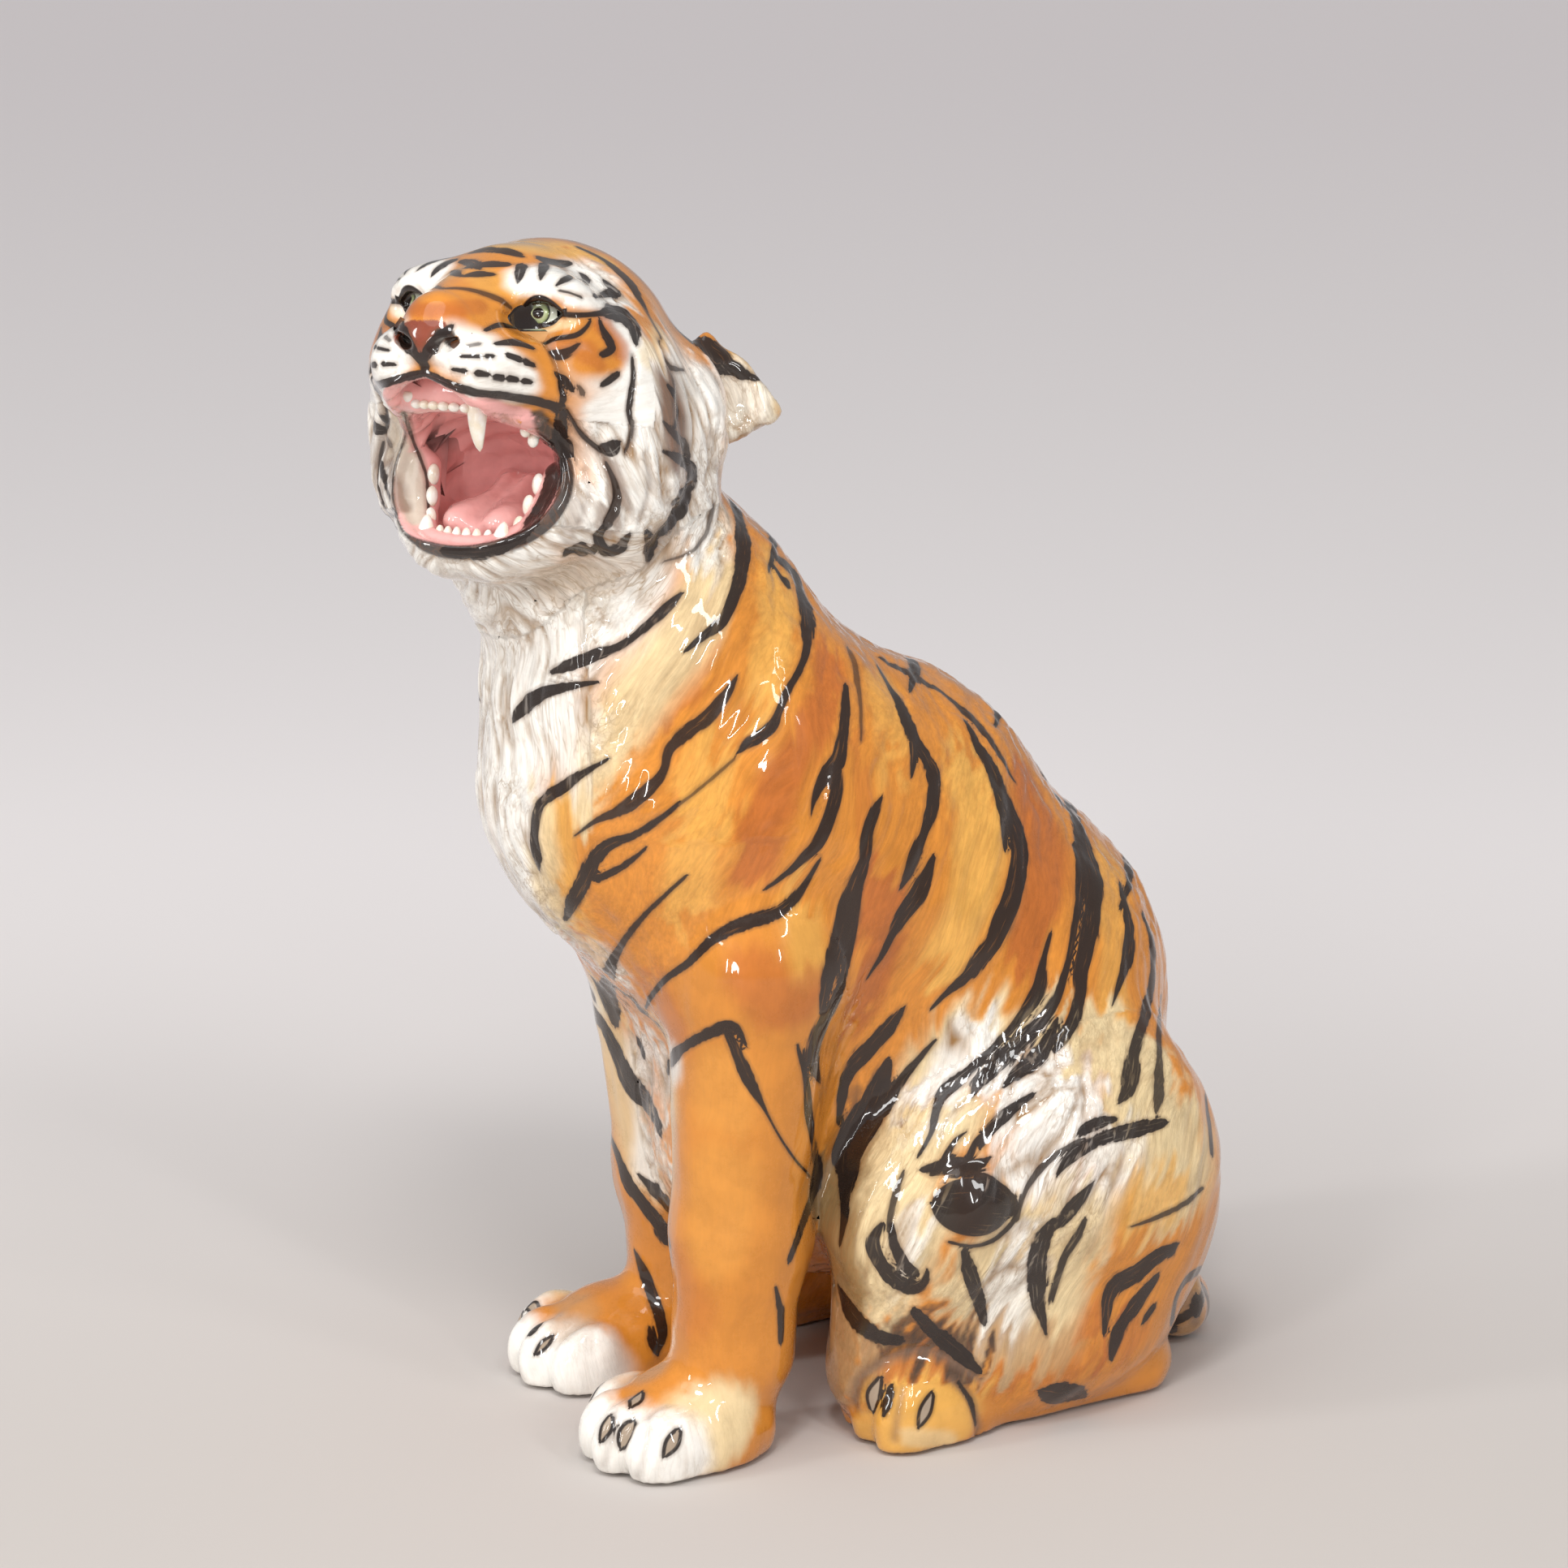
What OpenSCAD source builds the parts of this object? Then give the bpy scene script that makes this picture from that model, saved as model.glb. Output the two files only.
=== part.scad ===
// Seated roaring tiger, a hollow figurine in glazed earthenware.
// Slip-cast sections are luted together with slip, then the teeth and the tongue are set by hand.
// The tiger faces -Y, its left side is +X, and the table is z = 0.
// Each section is modelled as a sculptor builds it: lumps of clay on an armature, blended where
// they meet. A section's skin is found by reaching out from its centre line to the clay's surface.

/* [Casting] */
// Wall of the hollow trunk and haunches
wall = 8; // [6:0.5:11]
// Width of the casting hole under the rump
vent_d = 40; // [20:1:60]
// Thickness of the felt under each foot
felt_t = 2; // [1:0.5:4]
// How far the felt stays inside the edge of the foot
felt_inset = 5; // [3:0.5:9]
// Points round each slice of a section
slice_points = 26; // [22:2:36]

/* [Trunk] */
// Upper end of the neck, inside the head
neck_top_at = [0, -109, 446]; // [-200:1:500]
// Radius of the neck at its upper end
neck_top_r = 52; // [46:1:60]
// Root of the neck between the shoulders
neck_root_at = [0, -82, 392]; // [-200:1:500]
// Radius of the neck at its root
neck_root_r = 67; // [58:1:76]
// Middle of the chest
chest_at = [0, -62, 318]; // [-200:1:500]
// Width, depth and height of the chest
chest_size = [164, 180, 196]; // [100:1:260]
// Lean of the chest
chest_lean = 18; // [5:1:30]
// Middle of the left shoulder, the right one mirrors it
shoulder_at = [44, -35, 284]; // [-200:1:500]
// Width, depth and height of a shoulder
shoulder_size = [92, 124, 176]; // [60:1:220]
// Lean of the shoulders
shoulder_lean = 14; // [0:1:30]
// Middle of the ribs
ribs_at = [0, 19, 251]; // [-200:1:500]
// Width, depth and height of the ribs
ribs_size = [172, 220, 220]; // [120:1:280]
// Lean of the ribs
ribs_lean = 35; // [20:1:50]
// Middle of the loin
loin_at = [0, 88, 172]; // [-200:1:500]
// Width, depth and height of the loin
loin_size = [180, 194, 224]; // [120:1:280]
// Lean of the loin
loin_lean = 30; // [15:1:45]
// Middle of the rump
rump_at = [0, 113, 80]; // [-200:1:500]
// Width, depth and height of the rump
rump_size = [196, 184, 180]; // [120:1:260]
// Middle of the belly
belly_at = [0, -5, 140]; // [-200:1:500]
// Width, depth and height of the belly
belly_size = [132, 132, 160]; // [80:1:220]
// How softly the lumps of the trunk run into each other
trunk_blend = 35; // [20:1:45]

/* [Forelegs] */
// Distance of the left foreleg from the middle of the body
left_foreleg_x = 61; // [52:1:72]
// Distance of the right foreleg from the middle of the body
right_foreleg_x = 50; // [44:1:60]
// Height of the elbow
elbow_z = 235; // [215:1:255]
// Place of the elbow along the body
elbow_y = -48; // [-60:1:-35]
// Radius of the leg at the elbow
elbow_r = 39; // [34:1:44]
// Height of the wrist
wrist_z = 48; // [44:1:60]
// Place of the left wrist along the body
left_wrist_y = -58; // [-68:1:-45]
// Place of the right wrist along the body
right_wrist_y = -35; // [-47:1:-27]
// Radius of the leg at the wrist
wrist_r = 29; // [25:1:33]
// Place of the left foreleg's toes along the body
left_toe_y = -111; // [-122:1:-101]
// Place of the right foreleg's toes along the body
right_toe_y = -105; // [-115:1:-95]
// Width of a fore paw
paw_w = 74; // [66:1:84]
// Height of a fore paw
paw_h = 42; // [36:1:50]
// Radius of a toe
toe_r = 12.5; // [10:0.5:15]

/* [Haunches] */
// Middle of the left thigh
thigh_at = [66, 107, 108]; // [-20:1:200]
// Width, depth and height of a thigh
thigh_size = [96, 168, 192]; // [70:1:230]
// Lean of the thigh
thigh_lean = 20; // [5:1:35]
// Middle of the lower thigh
stifle_at = [80, 63, 118]; // [-20:1:200]
// Width, depth and height of the lower thigh
stifle_size = [72, 132, 116]; // [50:1:180]
// Middle of the left knee
knee_at = [84, 27, 108]; // [-20:1:200]
// Width, depth and height of a knee
knee_size = [62, 76, 88]; // [40:1:120]
// Radius of the shin
shin_r = 28; // [23:1:33]
// Foot of the shin
shin_foot_at = [72, 15, 30]; // [-20:1:200]
// Middle of the flank that lies on the foot
flank_at = [74, 81, 35]; // [-20:1:200]
// Width, depth and height of that flank
flank_size = [76, 152, 72]; // [50:1:190]
// How softly the lumps of a haunch run into each other
haunch_blend = 22; // [12:1:30]

/* [Hind feet] */
// Heel of the left hind foot
heel_at = [71, 145, 13]; // [-20:1:200]
// Front end of the left instep
instep_at = [80, 55, 13]; // [-20:1:200]
// Radius of the heel and instep
instep_r = 20.5; // [18:0.5:24]
// Middle of the left hind paw
hind_paw_at = [83, 31, 14]; // [-20:1:200]
// Width, depth and height of a hind paw
hind_paw_size = [56, 68, 64]; // [36:1:90]

/* [Tail] */
// Radius of the tail at its root
tail_root_r = 20; // [17:0.5:23]
// Radius of the tail where it lies on the table
tail_r = 14; // [11:0.5:16]
// Radius of the tail's tip
tail_tip_r = 9; // [7:0.5:11]

/* [Head] */
// Middle of the head
head_at = [6, -126, 498]; // [-200:1:540]
// Turn of the head to its left
head_turn = 41; // [25:1:50]
// Lift of the nose
head_lift = 12; // [5:1:20]
// Width, length and height of the skull
skull_size = [116, 126, 112]; // [90:1:150]
// Distance of the muzzle's end from the middle of the head
muzzle_l = 94; // [86:1:102]
// Radius of the nose bridge at the muzzle's end
bridge_r = 16; // [13:0.5:19]
// Width, length and height of a whisker pad
pad_size = [34, 42, 32]; // [24:1:60]
// Distance between the middles of the whisker pads
pad_gap = 34; // [28:1:40]
// Distance between the middles of the brows
brow_gap = 52; // [44:1:60]
// Width, length and height of a cheekbone
cheek_size = [42, 60, 56]; // [30:1:80]
// Distance between the middles of the cheek ruffs
ruff_gap = 96; // [86:1:106]
// Width, length and height of a cheek ruff
ruff_size = [52, 68, 96]; // [40:1:130]
// Width, length and height of the ruff behind it
back_ruff_size = [46, 50, 84]; // [36:1:110]
// Drop of the chin below the middle of the head
chin_drop = 78; // [72:1:86]
// Distance of the chin in front of the middle of the head
chin_reach = 60; // [52:1:68]
// Radius of the jaw bone
jaw_r = 11; // [9:0.5:14]

/* [Mouth] */
// Width, depth and height of the open mouth
mouth_size = [86, 106, 66]; // [50:1:130]
// Drop of the mouth's middle below the middle of the head
mouth_drop = 44; // [40:1:48]
// Thickness of the pink lining
lining_t = 3; // [2:0.5:4]
// Length, width and height of the tongue
tongue_size = [62, 34, 22]; // [16:1:80]
// Length of an upper canine
upper_canine_l = 23; // [16:0.5:28]
// Width of an upper canine at its root
upper_canine_d = 10; // [7:0.5:12]
// Length of a lower canine
lower_canine_l = 13; // [9:0.5:18]
// Width of a lower canine at its root
lower_canine_d = 9.5; // [7:0.5:12]
// Width of an incisor
incisor_w = 4.4; // [3.5:0.1:5]
// Width of a cheek tooth
cheek_tooth_w = 6; // [4.5:0.5:7.5]

/* [Ears] */
// Distance between the ears
ear_gap = 114; // [106:1:122]
// Height of an ear
ear_h = 56; // [46:1:66]
// How far an ear stands out
ear_reach = 34; // [28:1:40]
// Thickness of an ear's wall
ear_t = 5; // [4:0.5:7]

/* [Hidden] */

orange = "#d2822a";
cream = "#efe6d2";
pink = "#cf6a6a";
ivory = "#f4f0e6";
felt_black = "#222222";

// Clay lumps
// A ball is [size, middle, lean]; a limb is [radius, start, radius, end]. Both end in a blend.

function ball(at, size, lean, blend) = [size / 2, at, lean, blend, "ball"];
function limb(a, ra, b, rb, blend) = [[a, ra], [b, rb], 0, blend, "limb"];

function ball_far(p, at, r, lean) =
    let (
        d = p - at,
        q = [d.x, d.y * cos(lean) - d.z * sin(lean), d.y * sin(lean) + d.z * cos(lean)],
        near = norm([q.x / r.x, q.y / r.y, q.z / r.z]),
        slope = norm([q.x / (r.x * r.x), q.y / (r.y * r.y), q.z / (r.z * r.z)])
    )
    near * (near - 1) / max(slope, 1e-6);

function limb_far(p, a, ra, b, rb) =
    let (ab = b - a, t = max(0, min(1, (p - a) * ab / (ab * ab))))
    norm(p - a - t * ab) - ra - (rb - ra) * t;

function lump_far(p, l) =
    l[4] == "ball" ? ball_far(p, l[1], l[0], l[2]) : limb_far(p, l[0][0], l[0][1], l[1][0], l[1][1]);

function soft_min(a, b, k) =
    let (h = max(0, min(1, 0.5 + 0.5 * (b - a) / k)))
    b + (a - b) * h - k * h * (1 - h);

// Distance from p to the blended lumps, below zero inside
function clay_far(p, lumps, i = 0, far = 1000) =
    i == len(lumps) ? far :
    clay_far(p, lumps, i + 1, soft_min(far, lump_far(p, lumps[i]), lumps[i][3]));

// How far a ray runs from inside the clay to its skin, less the depth
function reach(from, along, lumps, depth, near, far, steps) =
    let (middle = (near + far) / 2)
    steps == 0 ? middle :
    clay_far(from + middle * along, lumps) + depth < 0
        ? reach(from, along, lumps, depth, middle, far, steps - 1)
        : reach(from, along, lumps, depth, near, middle, steps - 1);

reach_max = 230;
reach_steps = 11;

function touch(from, along, lumps, depth = 0) =
    from + along * reach(from, along, lumps, depth, 0, reach_max, reach_steps);

// One slice of a section's skin, round a point on its centre line
function slice(middle, u, v, lumps, depth, points) = [
    for (i = [0 : points - 1])
        let (turn = 360 * i / points)
        touch(middle, cos(turn) * u + sin(turn) * v, lumps, depth)
];

// Surface through rings of points, closed at both ends on a tip
module skin_over(rings, start, finish) {
    n = len(rings[0]);
    points = concat([start], [for (ring = rings) each ring], [finish]);
    last = len(points) - 1;
    function at(ring, i) = 1 + ring * n + i % n;
    sides = [
        for (ring = [0 : len(rings) - 2], i = [0 : n - 1])
            each [
                [at(ring, i), at(ring + 1, i), at(ring + 1, i + 1)],
                [at(ring, i), at(ring + 1, i + 1), at(ring, i + 1)]
            ]
    ];
    first_end = [for (i = [0 : n - 1]) [0, at(0, i), at(0, i + 1)]];
    last_end = [for (i = [0 : n - 1]) [last, at(len(rings) - 1, i + 1), at(len(rings) - 1, i)]];
    polyhedron(points, concat(first_end, sides, last_end));
}

// Spreads n steps between two ends, closer together at the ends
function spread(a, b, n) = [for (i = [1 : n]) a + (b - a) * (1 - cos(180 * i / (n + 1))) / 2];

// Point at height z on a centre line whose points rise
function rising(line, z) = [
    lookup(z, [for (p = line) [p.z, p.x]]),
    lookup(z, [for (p = line) [p.z, p.y]]),
    z
];

// Skin of an upright section, sliced level from bottom to top
module upright_skin(lumps, line, slices, depth = 0, points = slice_points) {
    lowest = touch(line[0], [0, 0, -1], lumps, depth);
    low = [lowest.x, lowest.y, max(lowest.z, -felt_t)];
    high = touch(line[len(line) - 1], [0, 0, 1], lumps, depth);
    rings = [
        for (z = spread(low.z, high.z, slices))
            slice(rising(line, z), [1, 0, 0], [0, 1, 0], lumps, depth, points)
    ];
    skin_over(rings, low, high);
}

// Skin of a section along the face, sliced from the nape to the nose
module face_skin(lumps, back, front, slices) {
    start = touch(back, [0, 1, 0], lumps);
    finish = touch(front, [0, -1, 0], lumps);
    rings = [
        for (y = spread(start.y, finish.y, slices))
            slice(
                [0, y, lookup(y, [[front.y, front.z], [back.y, back.z]])],
                [1, 0, 0], [0, 0, 1], lumps, 0, slice_points + 2
            )
    ];
    skin_over(rings, start, finish);
}

// Keeps a cut section as one skin
module one_casting() {
    resize([0, 0, 0]) children();
}

module above_felt() {
    room = 1200;
    translate([-room / 2, -room / 2, felt_t]) cube(room);
}

// Lumps of the left or right side, from the left one's
function side_of(p, side) = [p.x * side, p.y, p.z];

// Trunk

trunk_lumps = concat(
    [
        limb(neck_top_at, neck_top_r, neck_root_at, neck_root_r, trunk_blend),
        ball(chest_at, chest_size, chest_lean, trunk_blend)
    ],
    [for (side = [-1, 1]) ball(side_of(shoulder_at, side), shoulder_size, shoulder_lean, trunk_blend)],
    [
        ball(ribs_at, ribs_size, ribs_lean, trunk_blend),
        ball(loin_at, loin_size, loin_lean, trunk_blend),
        ball(rump_at, rump_size, 0, trunk_blend),
        ball(belly_at, belly_size, 0, trunk_blend)
    ]
);
trunk_line = [rump_at, loin_at, ribs_at, chest_at, neck_root_at, neck_top_at];
trunk_slices = 18;

module trunk_skin() {
    upright_skin(trunk_lumps, trunk_line, trunk_slices);
}

module trunk_hollow() {
    upright_skin(trunk_lumps, trunk_line, trunk_slices / 2, wall, slice_points - 8);
}

module torso() {
    color(orange) one_casting() difference() {
        intersection() {
            trunk_skin();
            above_felt();
        }
        intersection() {
            trunk_hollow();
            translate([0, 0, wall]) above_felt();
        }
        translate([rump_at.x, rump_at.y, 0]) cylinder(h = 2 * wall + felt_t, d = vent_d, $fn = 32);
        head_skin();
        jaw_skin();
    }
}

// Forelegs

function foreleg_x(side) = side > 0 ? left_foreleg_x : -right_foreleg_x;

function foreleg_lumps(side, wrist_y, toe_y) =
    let (
        x = foreleg_x(side),
        elbow = [x, elbow_y, elbow_z],
        knee = [x, elbow_y + (wrist_y - elbow_y) * 0.7, wrist_z + (elbow_z - wrist_z) * 0.28],
        wrist = [x, wrist_y, wrist_z],
        paw_l = wrist_y - toe_y + 30
    )
    concat(
        [
            limb(side_of(shoulder_at, side), elbow_r * 0.75, elbow, elbow_r, 10),
            limb(elbow, elbow_r, knee, wrist_r + 1, 16),
            limb(knee, wrist_r, wrist, wrist_r, 14),
            ball([x, (wrist_y + toe_y) / 2 + 4, paw_h * 0.3], [paw_w - 4, paw_l, paw_h * 1.4], 0, 12)
        ],
        [
            for (toe = [-1.5 : 1 : 1.5])
                ball(
                    [x + toe * (paw_w / 2 - toe_r) / 1.5, toe_y + 5 * (toe * toe - 0.25), paw_h * 0.3],
                    [2 * toe_r, 3.4 * toe_r, paw_h], 0, 5
                )
        ]
    );

function foreleg_line(side, wrist_y, toe_y) = [
    [foreleg_x(side), (wrist_y + toe_y) / 2, paw_h * 0.4],
    [foreleg_x(side), (wrist_y + toe_y) / 2, paw_h * 0.75],
    [foreleg_x(side), wrist_y, wrist_z + 12],
    [foreleg_x(side), elbow_y, elbow_z],
    side_of(shoulder_at, side)
];

module foreleg_skin(side, wrist_y, toe_y) {
    upright_skin(
        foreleg_lumps(side, wrist_y, toe_y), foreleg_line(side, wrist_y, toe_y), 18, 0, slice_points + 8
    );
}

module foreleg(side, wrist_y, toe_y) {
    color(orange) one_casting() difference() {
        intersection() {
            foreleg_skin(side, wrist_y, toe_y);
            above_felt();
        }
        trunk_skin();
        haunch_skin(side);
        hind_foot_skin(side);
    }
}

module foreleg_left() {
    foreleg(1, left_wrist_y, left_toe_y);
}

module foreleg_right() {
    foreleg(-1, right_wrist_y, right_toe_y);
}

// Haunches

function haunch_lumps(side) = [
    ball(side_of(thigh_at, side), thigh_size, -thigh_lean, haunch_blend),
    ball(side_of(stifle_at, side), stifle_size, -thigh_lean, haunch_blend),
    ball(side_of(knee_at, side), knee_size, 0, haunch_blend),
    limb(side_of(knee_at, side) - [4 * side, 10, 13], shin_r, side_of(shin_foot_at, side), shin_r, haunch_blend),
    ball(side_of(flank_at, side), flank_size, 0, haunch_blend)
];

function haunch_line(side) = [
    side_of(flank_at, side),
    [side * (thigh_at.x + stifle_at.x) / 2, (thigh_at.y + stifle_at.y) / 2, thigh_at.z],
    side_of([thigh_at.x, (thigh_at.y + stifle_at.y) / 2, thigh_at.z + thigh_size.z / 3], side)
];

module haunch_skin(side) {
    upright_skin(haunch_lumps(side), haunch_line(side), 12);
}

module haunch_hollow(side) {
    upright_skin(haunch_lumps(side), haunch_line(side), 7, wall, slice_points - 8);
}

module haunch(side) {
    color(cream) one_casting() difference() {
        intersection() {
            haunch_skin(side);
            above_felt();
        }
        trunk_skin();
        hind_foot_skin(side);
        intersection() {
            haunch_hollow(side);
            translate([0, 0, wall]) above_felt();
        }
    }
}

module haunch_left() {
    haunch(1);
}

module haunch_right() {
    haunch(-1);
}

// Hind feet

function hind_foot_lumps(side) = concat(
    [
        limb(side_of(heel_at, side), instep_r, side_of(instep_at, side), instep_r, 10),
        ball(side_of(hind_paw_at, side), hind_paw_size, 0, 10)
    ],
    [
        for (toe = [-1 : 1])
            ball(
                side_of(hind_paw_at + [toe * (hind_paw_size.x / 2 - toe_r + 2), 3 * toe * toe - 20, -2], side),
                [2 * toe_r - 2, 2.8 * toe_r, hind_paw_size.z * 0.7], 0, 5
            )
    ]
);

function hind_foot_line(side) = [
    side_of((heel_at + instep_at) / 2, side),
    side_of((hind_paw_at + instep_at) / 2 + [0, 0, instep_r / 2], side),
    side_of(hind_paw_at + [0, 0, hind_paw_size.z / 3], side)
];

module hind_foot_skin(side) {
    upright_skin(hind_foot_lumps(side), hind_foot_line(side), 9);
}

module hind_foot(side) {
    color(orange) one_casting() difference() {
        intersection() {
            hind_foot_skin(side);
            above_felt();
        }
        trunk_skin();
    }
}

module hind_foot_left() {
    hind_foot(1);
}

module hind_foot_right() {
    hind_foot(-1);
}

// Tail

tail_lie = felt_t + tail_r;
tail_path = [
    [10, rump_at.y + 76, rump_at.z - 18],
    [30, rump_at.y + 74, rump_at.z - 46],
    [32, rump_at.y + 80, tail_lie + 2],
    [6, rump_at.y + 93, tail_lie],
    [-42, rump_at.y + 90, tail_lie],
    [-80, rump_at.y + 68, tail_lie],
    [-101, rump_at.y + 32, tail_lie],
    [-106, rump_at.y - 10, tail_lie - 2]
];
tail_girth = [tail_root_r, tail_root_r - 3, tail_r + 1, tail_r, tail_r, tail_r, tail_r - 1, tail_tip_r];

// Smooth curve through the points of a path, t counts the points
function along_path(path, t) =
    let (
        i = min(floor(t), len(path) - 2),
        f = t - i,
        a = path[max(i - 1, 0)],
        b = path[i],
        c = path[i + 1],
        d = path[min(i + 2, len(path) - 1)]
    )
    (2 * b + (c - a) * f + (2 * a - 5 * b + 4 * c - d) * f * f + (3 * b - a - 3 * c + d) * f * f * f) / 2;

function unit(v) = v / norm(v);

// Round section of a swept form
function hoop(middle, heading, r, n) =
    let (u = unit(cross([0, 0, 1], heading)), v = cross(heading, u))
    [for (i = [0 : n - 1]) middle + r * (cos(360 * i / n) * u + sin(360 * i / n) * v)];

module tail_skin() {
    span = len(tail_path) - 1;
    steps = 3;
    stations = [for (i = [0 : span * steps]) i / steps];
    rings = [
        for (t = stations)
            let (heading = unit(along_path(tail_path, min(t + 0.1, span)) - along_path(tail_path, max(t - 0.1, 0))))
            hoop(along_path(tail_path, t), heading, along_path(tail_girth, t), 10)
    ];
    tip_heading = unit(tail_path[span] - along_path(tail_path, span - 0.1));
    skin_over(rings, tail_path[0], tail_path[span] + tip_heading * tail_tip_r * 0.8);
}

module tail() {
    color(orange) one_casting() difference() {
        intersection() {
            tail_skin();
            above_felt();
        }
        trunk_skin();
        haunch_skin(-1);
        haunch_skin(1);
        hind_foot_skin(-1);
        hind_foot_skin(1);
    }
}

// Head, in its own frame: the nose points to -Y, +X is the tiger's left

module in_head() {
    translate(head_at) rotate([-head_lift, 0, head_turn]) children();
}

bridge_start = [0, -45, 27];
bridge_end = [0, -muzzle_l, 15];
nose_at = [0, -muzzle_l - 11, 12];
chin_at = [0, -chin_reach + 2, -chin_drop + 3];

head_lumps = concat(
    [ball([0, 2, 8], skull_size, 0, 10), limb(bridge_start, 26, bridge_end, bridge_r, 20)],
    [
        for (side = [-1, 1])
            each [
                ball([side * brow_gap / 2, -56, 32], [36, 36, 26], 0, 12),
                ball([side * 40, -36, 4], cheek_size, 0, 18),
                limb([side * 27, -muzzle_l + 18, 0], 12, [side * 39, -54, -3], 12, 12)
            ]
    ],
    [ball([0, -50, 2], [86, 92, 44], 0, 18)],
    [
        for (side = [-1, 1])
            each [
                ball([side * pad_gap / 2, -muzzle_l + 6, 2], pad_size, 0, 10),
                ball([side * ruff_gap / 2, -8, -28], ruff_size, 0, 22),
                ball([side * (ruff_gap / 2 + 4), 33, -20], back_ruff_size, 0, 18)
            ]
    ],
    [
        limb([0, 10, -40], 50, [0, 20, -72], 46, 25),
        ball(nose_at, [30, 18, 20], 0, 5)
    ]
);
head_slices = 20;

module head_skin() {
    in_head() face_skin(head_lumps, [0, 20, -14], [0, -muzzle_l, 10], head_slices);
}

jaw_lumps = concat(
    [
        for (side = [-1, 1])
            limb([side * 36, -32, -chin_drop + 26], jaw_r + 8, [side * 16, -chin_reach + 6, -chin_drop + 5], jaw_r, 18)
    ],
    [ball(chin_at, [46, 28, 18], 0, 12)],
    [ball([0, -24, -chin_drop + 10], [72, 76, 44], 0, 18)]
);

module jaw_skin() {
    in_head() face_skin(
        jaw_lumps, [0, -14, -chin_drop + 8], [0, -chin_reach + 6, -chin_drop + 4], 10
    );
}

// The open mouth: its front is wide open, its back narrows to the throat
module mouth_room(grow = 0) {
    in_head() {
        egg([0, -64, -mouth_drop], mouth_size / 2 + [grow, grow, grow]);
        egg([0, -30, -mouth_drop - 2], [28 + grow, 30 + grow, 24 + grow]);
        egg([0, -muzzle_l + 2, -mouth_drop + 22], [25 + grow, 28 + grow, 22 + grow]);
    }
}

module egg(at, r, points = 18) {
    translate(at) scale(r) sphere(r = 1, $fn = points);
}

module head() {
    color(cream) one_casting() difference() {
        head_skin();
        mouth_room(lining_t);
    }
}

module lower_jaw() {
    color(cream) one_casting() difference() {
        jaw_skin();
        head_skin();
        mouth_room(lining_t);
    }
}

module flesh() {
    head_skin();
    jaw_skin();
}

// Ridges of the gums round the front of the mouth, as [middle, radius], for the left half
upper_ridge = [
    [[0, -muzzle_l + 8, -mouth_drop + 35], 9],
    [[15, -muzzle_l + 12, -mouth_drop + 34], 8.5],
    [[30, -muzzle_l + 24, -mouth_drop + 31], 8],
    [[35, -muzzle_l + 36, -mouth_drop + 24], 8]
];
lower_ridge = [
    [[0, -chin_reach - 5, -chin_drop + 3], 5.5],
    [[16, -chin_reach - 1, -chin_drop + 4], 5.5],
    [[28, -chin_reach + 10, -chin_drop + 10], 8],
    [[33, -chin_reach + 16, -chin_drop + 22], 9],
    [[34, -chin_reach + 20, -chin_drop + 36], 8]
];

module ridge(path, side) {
    for (i = [0 : len(path) - 2])
        hull() {
            egg(side_of(path[i][0], side), [1, 1, 1] * path[i][1], 12);
            egg(side_of(path[i + 1][0], side), [1, 1, 1] * path[i + 1][1], 12);
        }
}

module gum_ridges() {
    in_head() for (side = [-1, 1]) {
        ridge(upper_ridge, side);
        ridge(lower_ridge, side);
    }
}

module mouth_lining() {
    color(pink) one_casting() union() {
        intersection() {
            difference() {
                mouth_room(lining_t);
                mouth_room();
            }
            union() flesh();
        }
        intersection() {
            gum_ridges();
            mouth_room(lining_t / 2);
        }
    }
}

// The tongue lies on the floor of the mouth, with a groove along its middle
module tongue() {
    color(pink) one_casting() intersection() {
        in_head() difference() {
            egg(
                [0, -chin_reach + tongue_size.x / 2 + 8, -mouth_drop - mouth_size.z / 2 + tongue_size.z / 2 + 1],
                [tongue_size.y / 2, tongue_size.x / 2, tongue_size.z / 2], 18
            );
            egg(
                [0, -chin_reach + tongue_size.x / 2 + 2, -mouth_drop - mouth_size.z / 2 + tongue_size.z + 4],
                [3, tongue_size.x / 2, 6], 8
            );
        }
        mouth_room();
    }
}

// A tooth bends a little towards its tip
module fang(root, tip, r, bend) {
    path = [root, (root + tip) / 2 + bend, tip];
    girth = [r, r * 0.8, r * 0.25];
    rings = [
        for (t = [0 : 0.4 : 2])
            let (heading = unit(along_path(path, min(t + 0.1, 2)) - along_path(path, max(t - 0.1, 0))))
            let (u = unit(cross([0, 1, 0], heading)), v = cross(heading, u))
            [
                for (i = [0 : 9])
                    along_path(path, t) + along_path(girth, t) * (cos(36 * i) * u + sin(36 * i) * v)
            ]
    ];
    skin_over(rings, root, tip + unit(tip - root) * r * 0.2);
}

// What a tooth is set in: everything round the mouth's room
module gums() {
    difference() {
        union() flesh();
        mouth_room();
    }
    gum_ridges();
}

module set_in_gums() {
    color(ivory) one_casting() difference() {
        in_head() children();
        gums();
    }
}

// Edges of the gums at the front of the mouth, where the teeth stand
upper_gum_z = upper_ridge[0][0].z - 7;
lower_gum_z = lower_ridge[0][0].z + 3;
upper_row_y = upper_ridge[0][0].y + 2;
lower_row_y = lower_ridge[0][0].y + 1;

module upper_canine(side) {
    set_in_gums() fang(
        [side * 16, upper_row_y, upper_gum_z + 4],
        [side * 17, upper_row_y + 2, upper_gum_z - upper_canine_l + 3],
        upper_canine_d / 2, [0, -2, 0]
    );
}

module upper_canine_left() {
    upper_canine(1);
}

module upper_canine_right() {
    upper_canine(-1);
}

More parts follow.
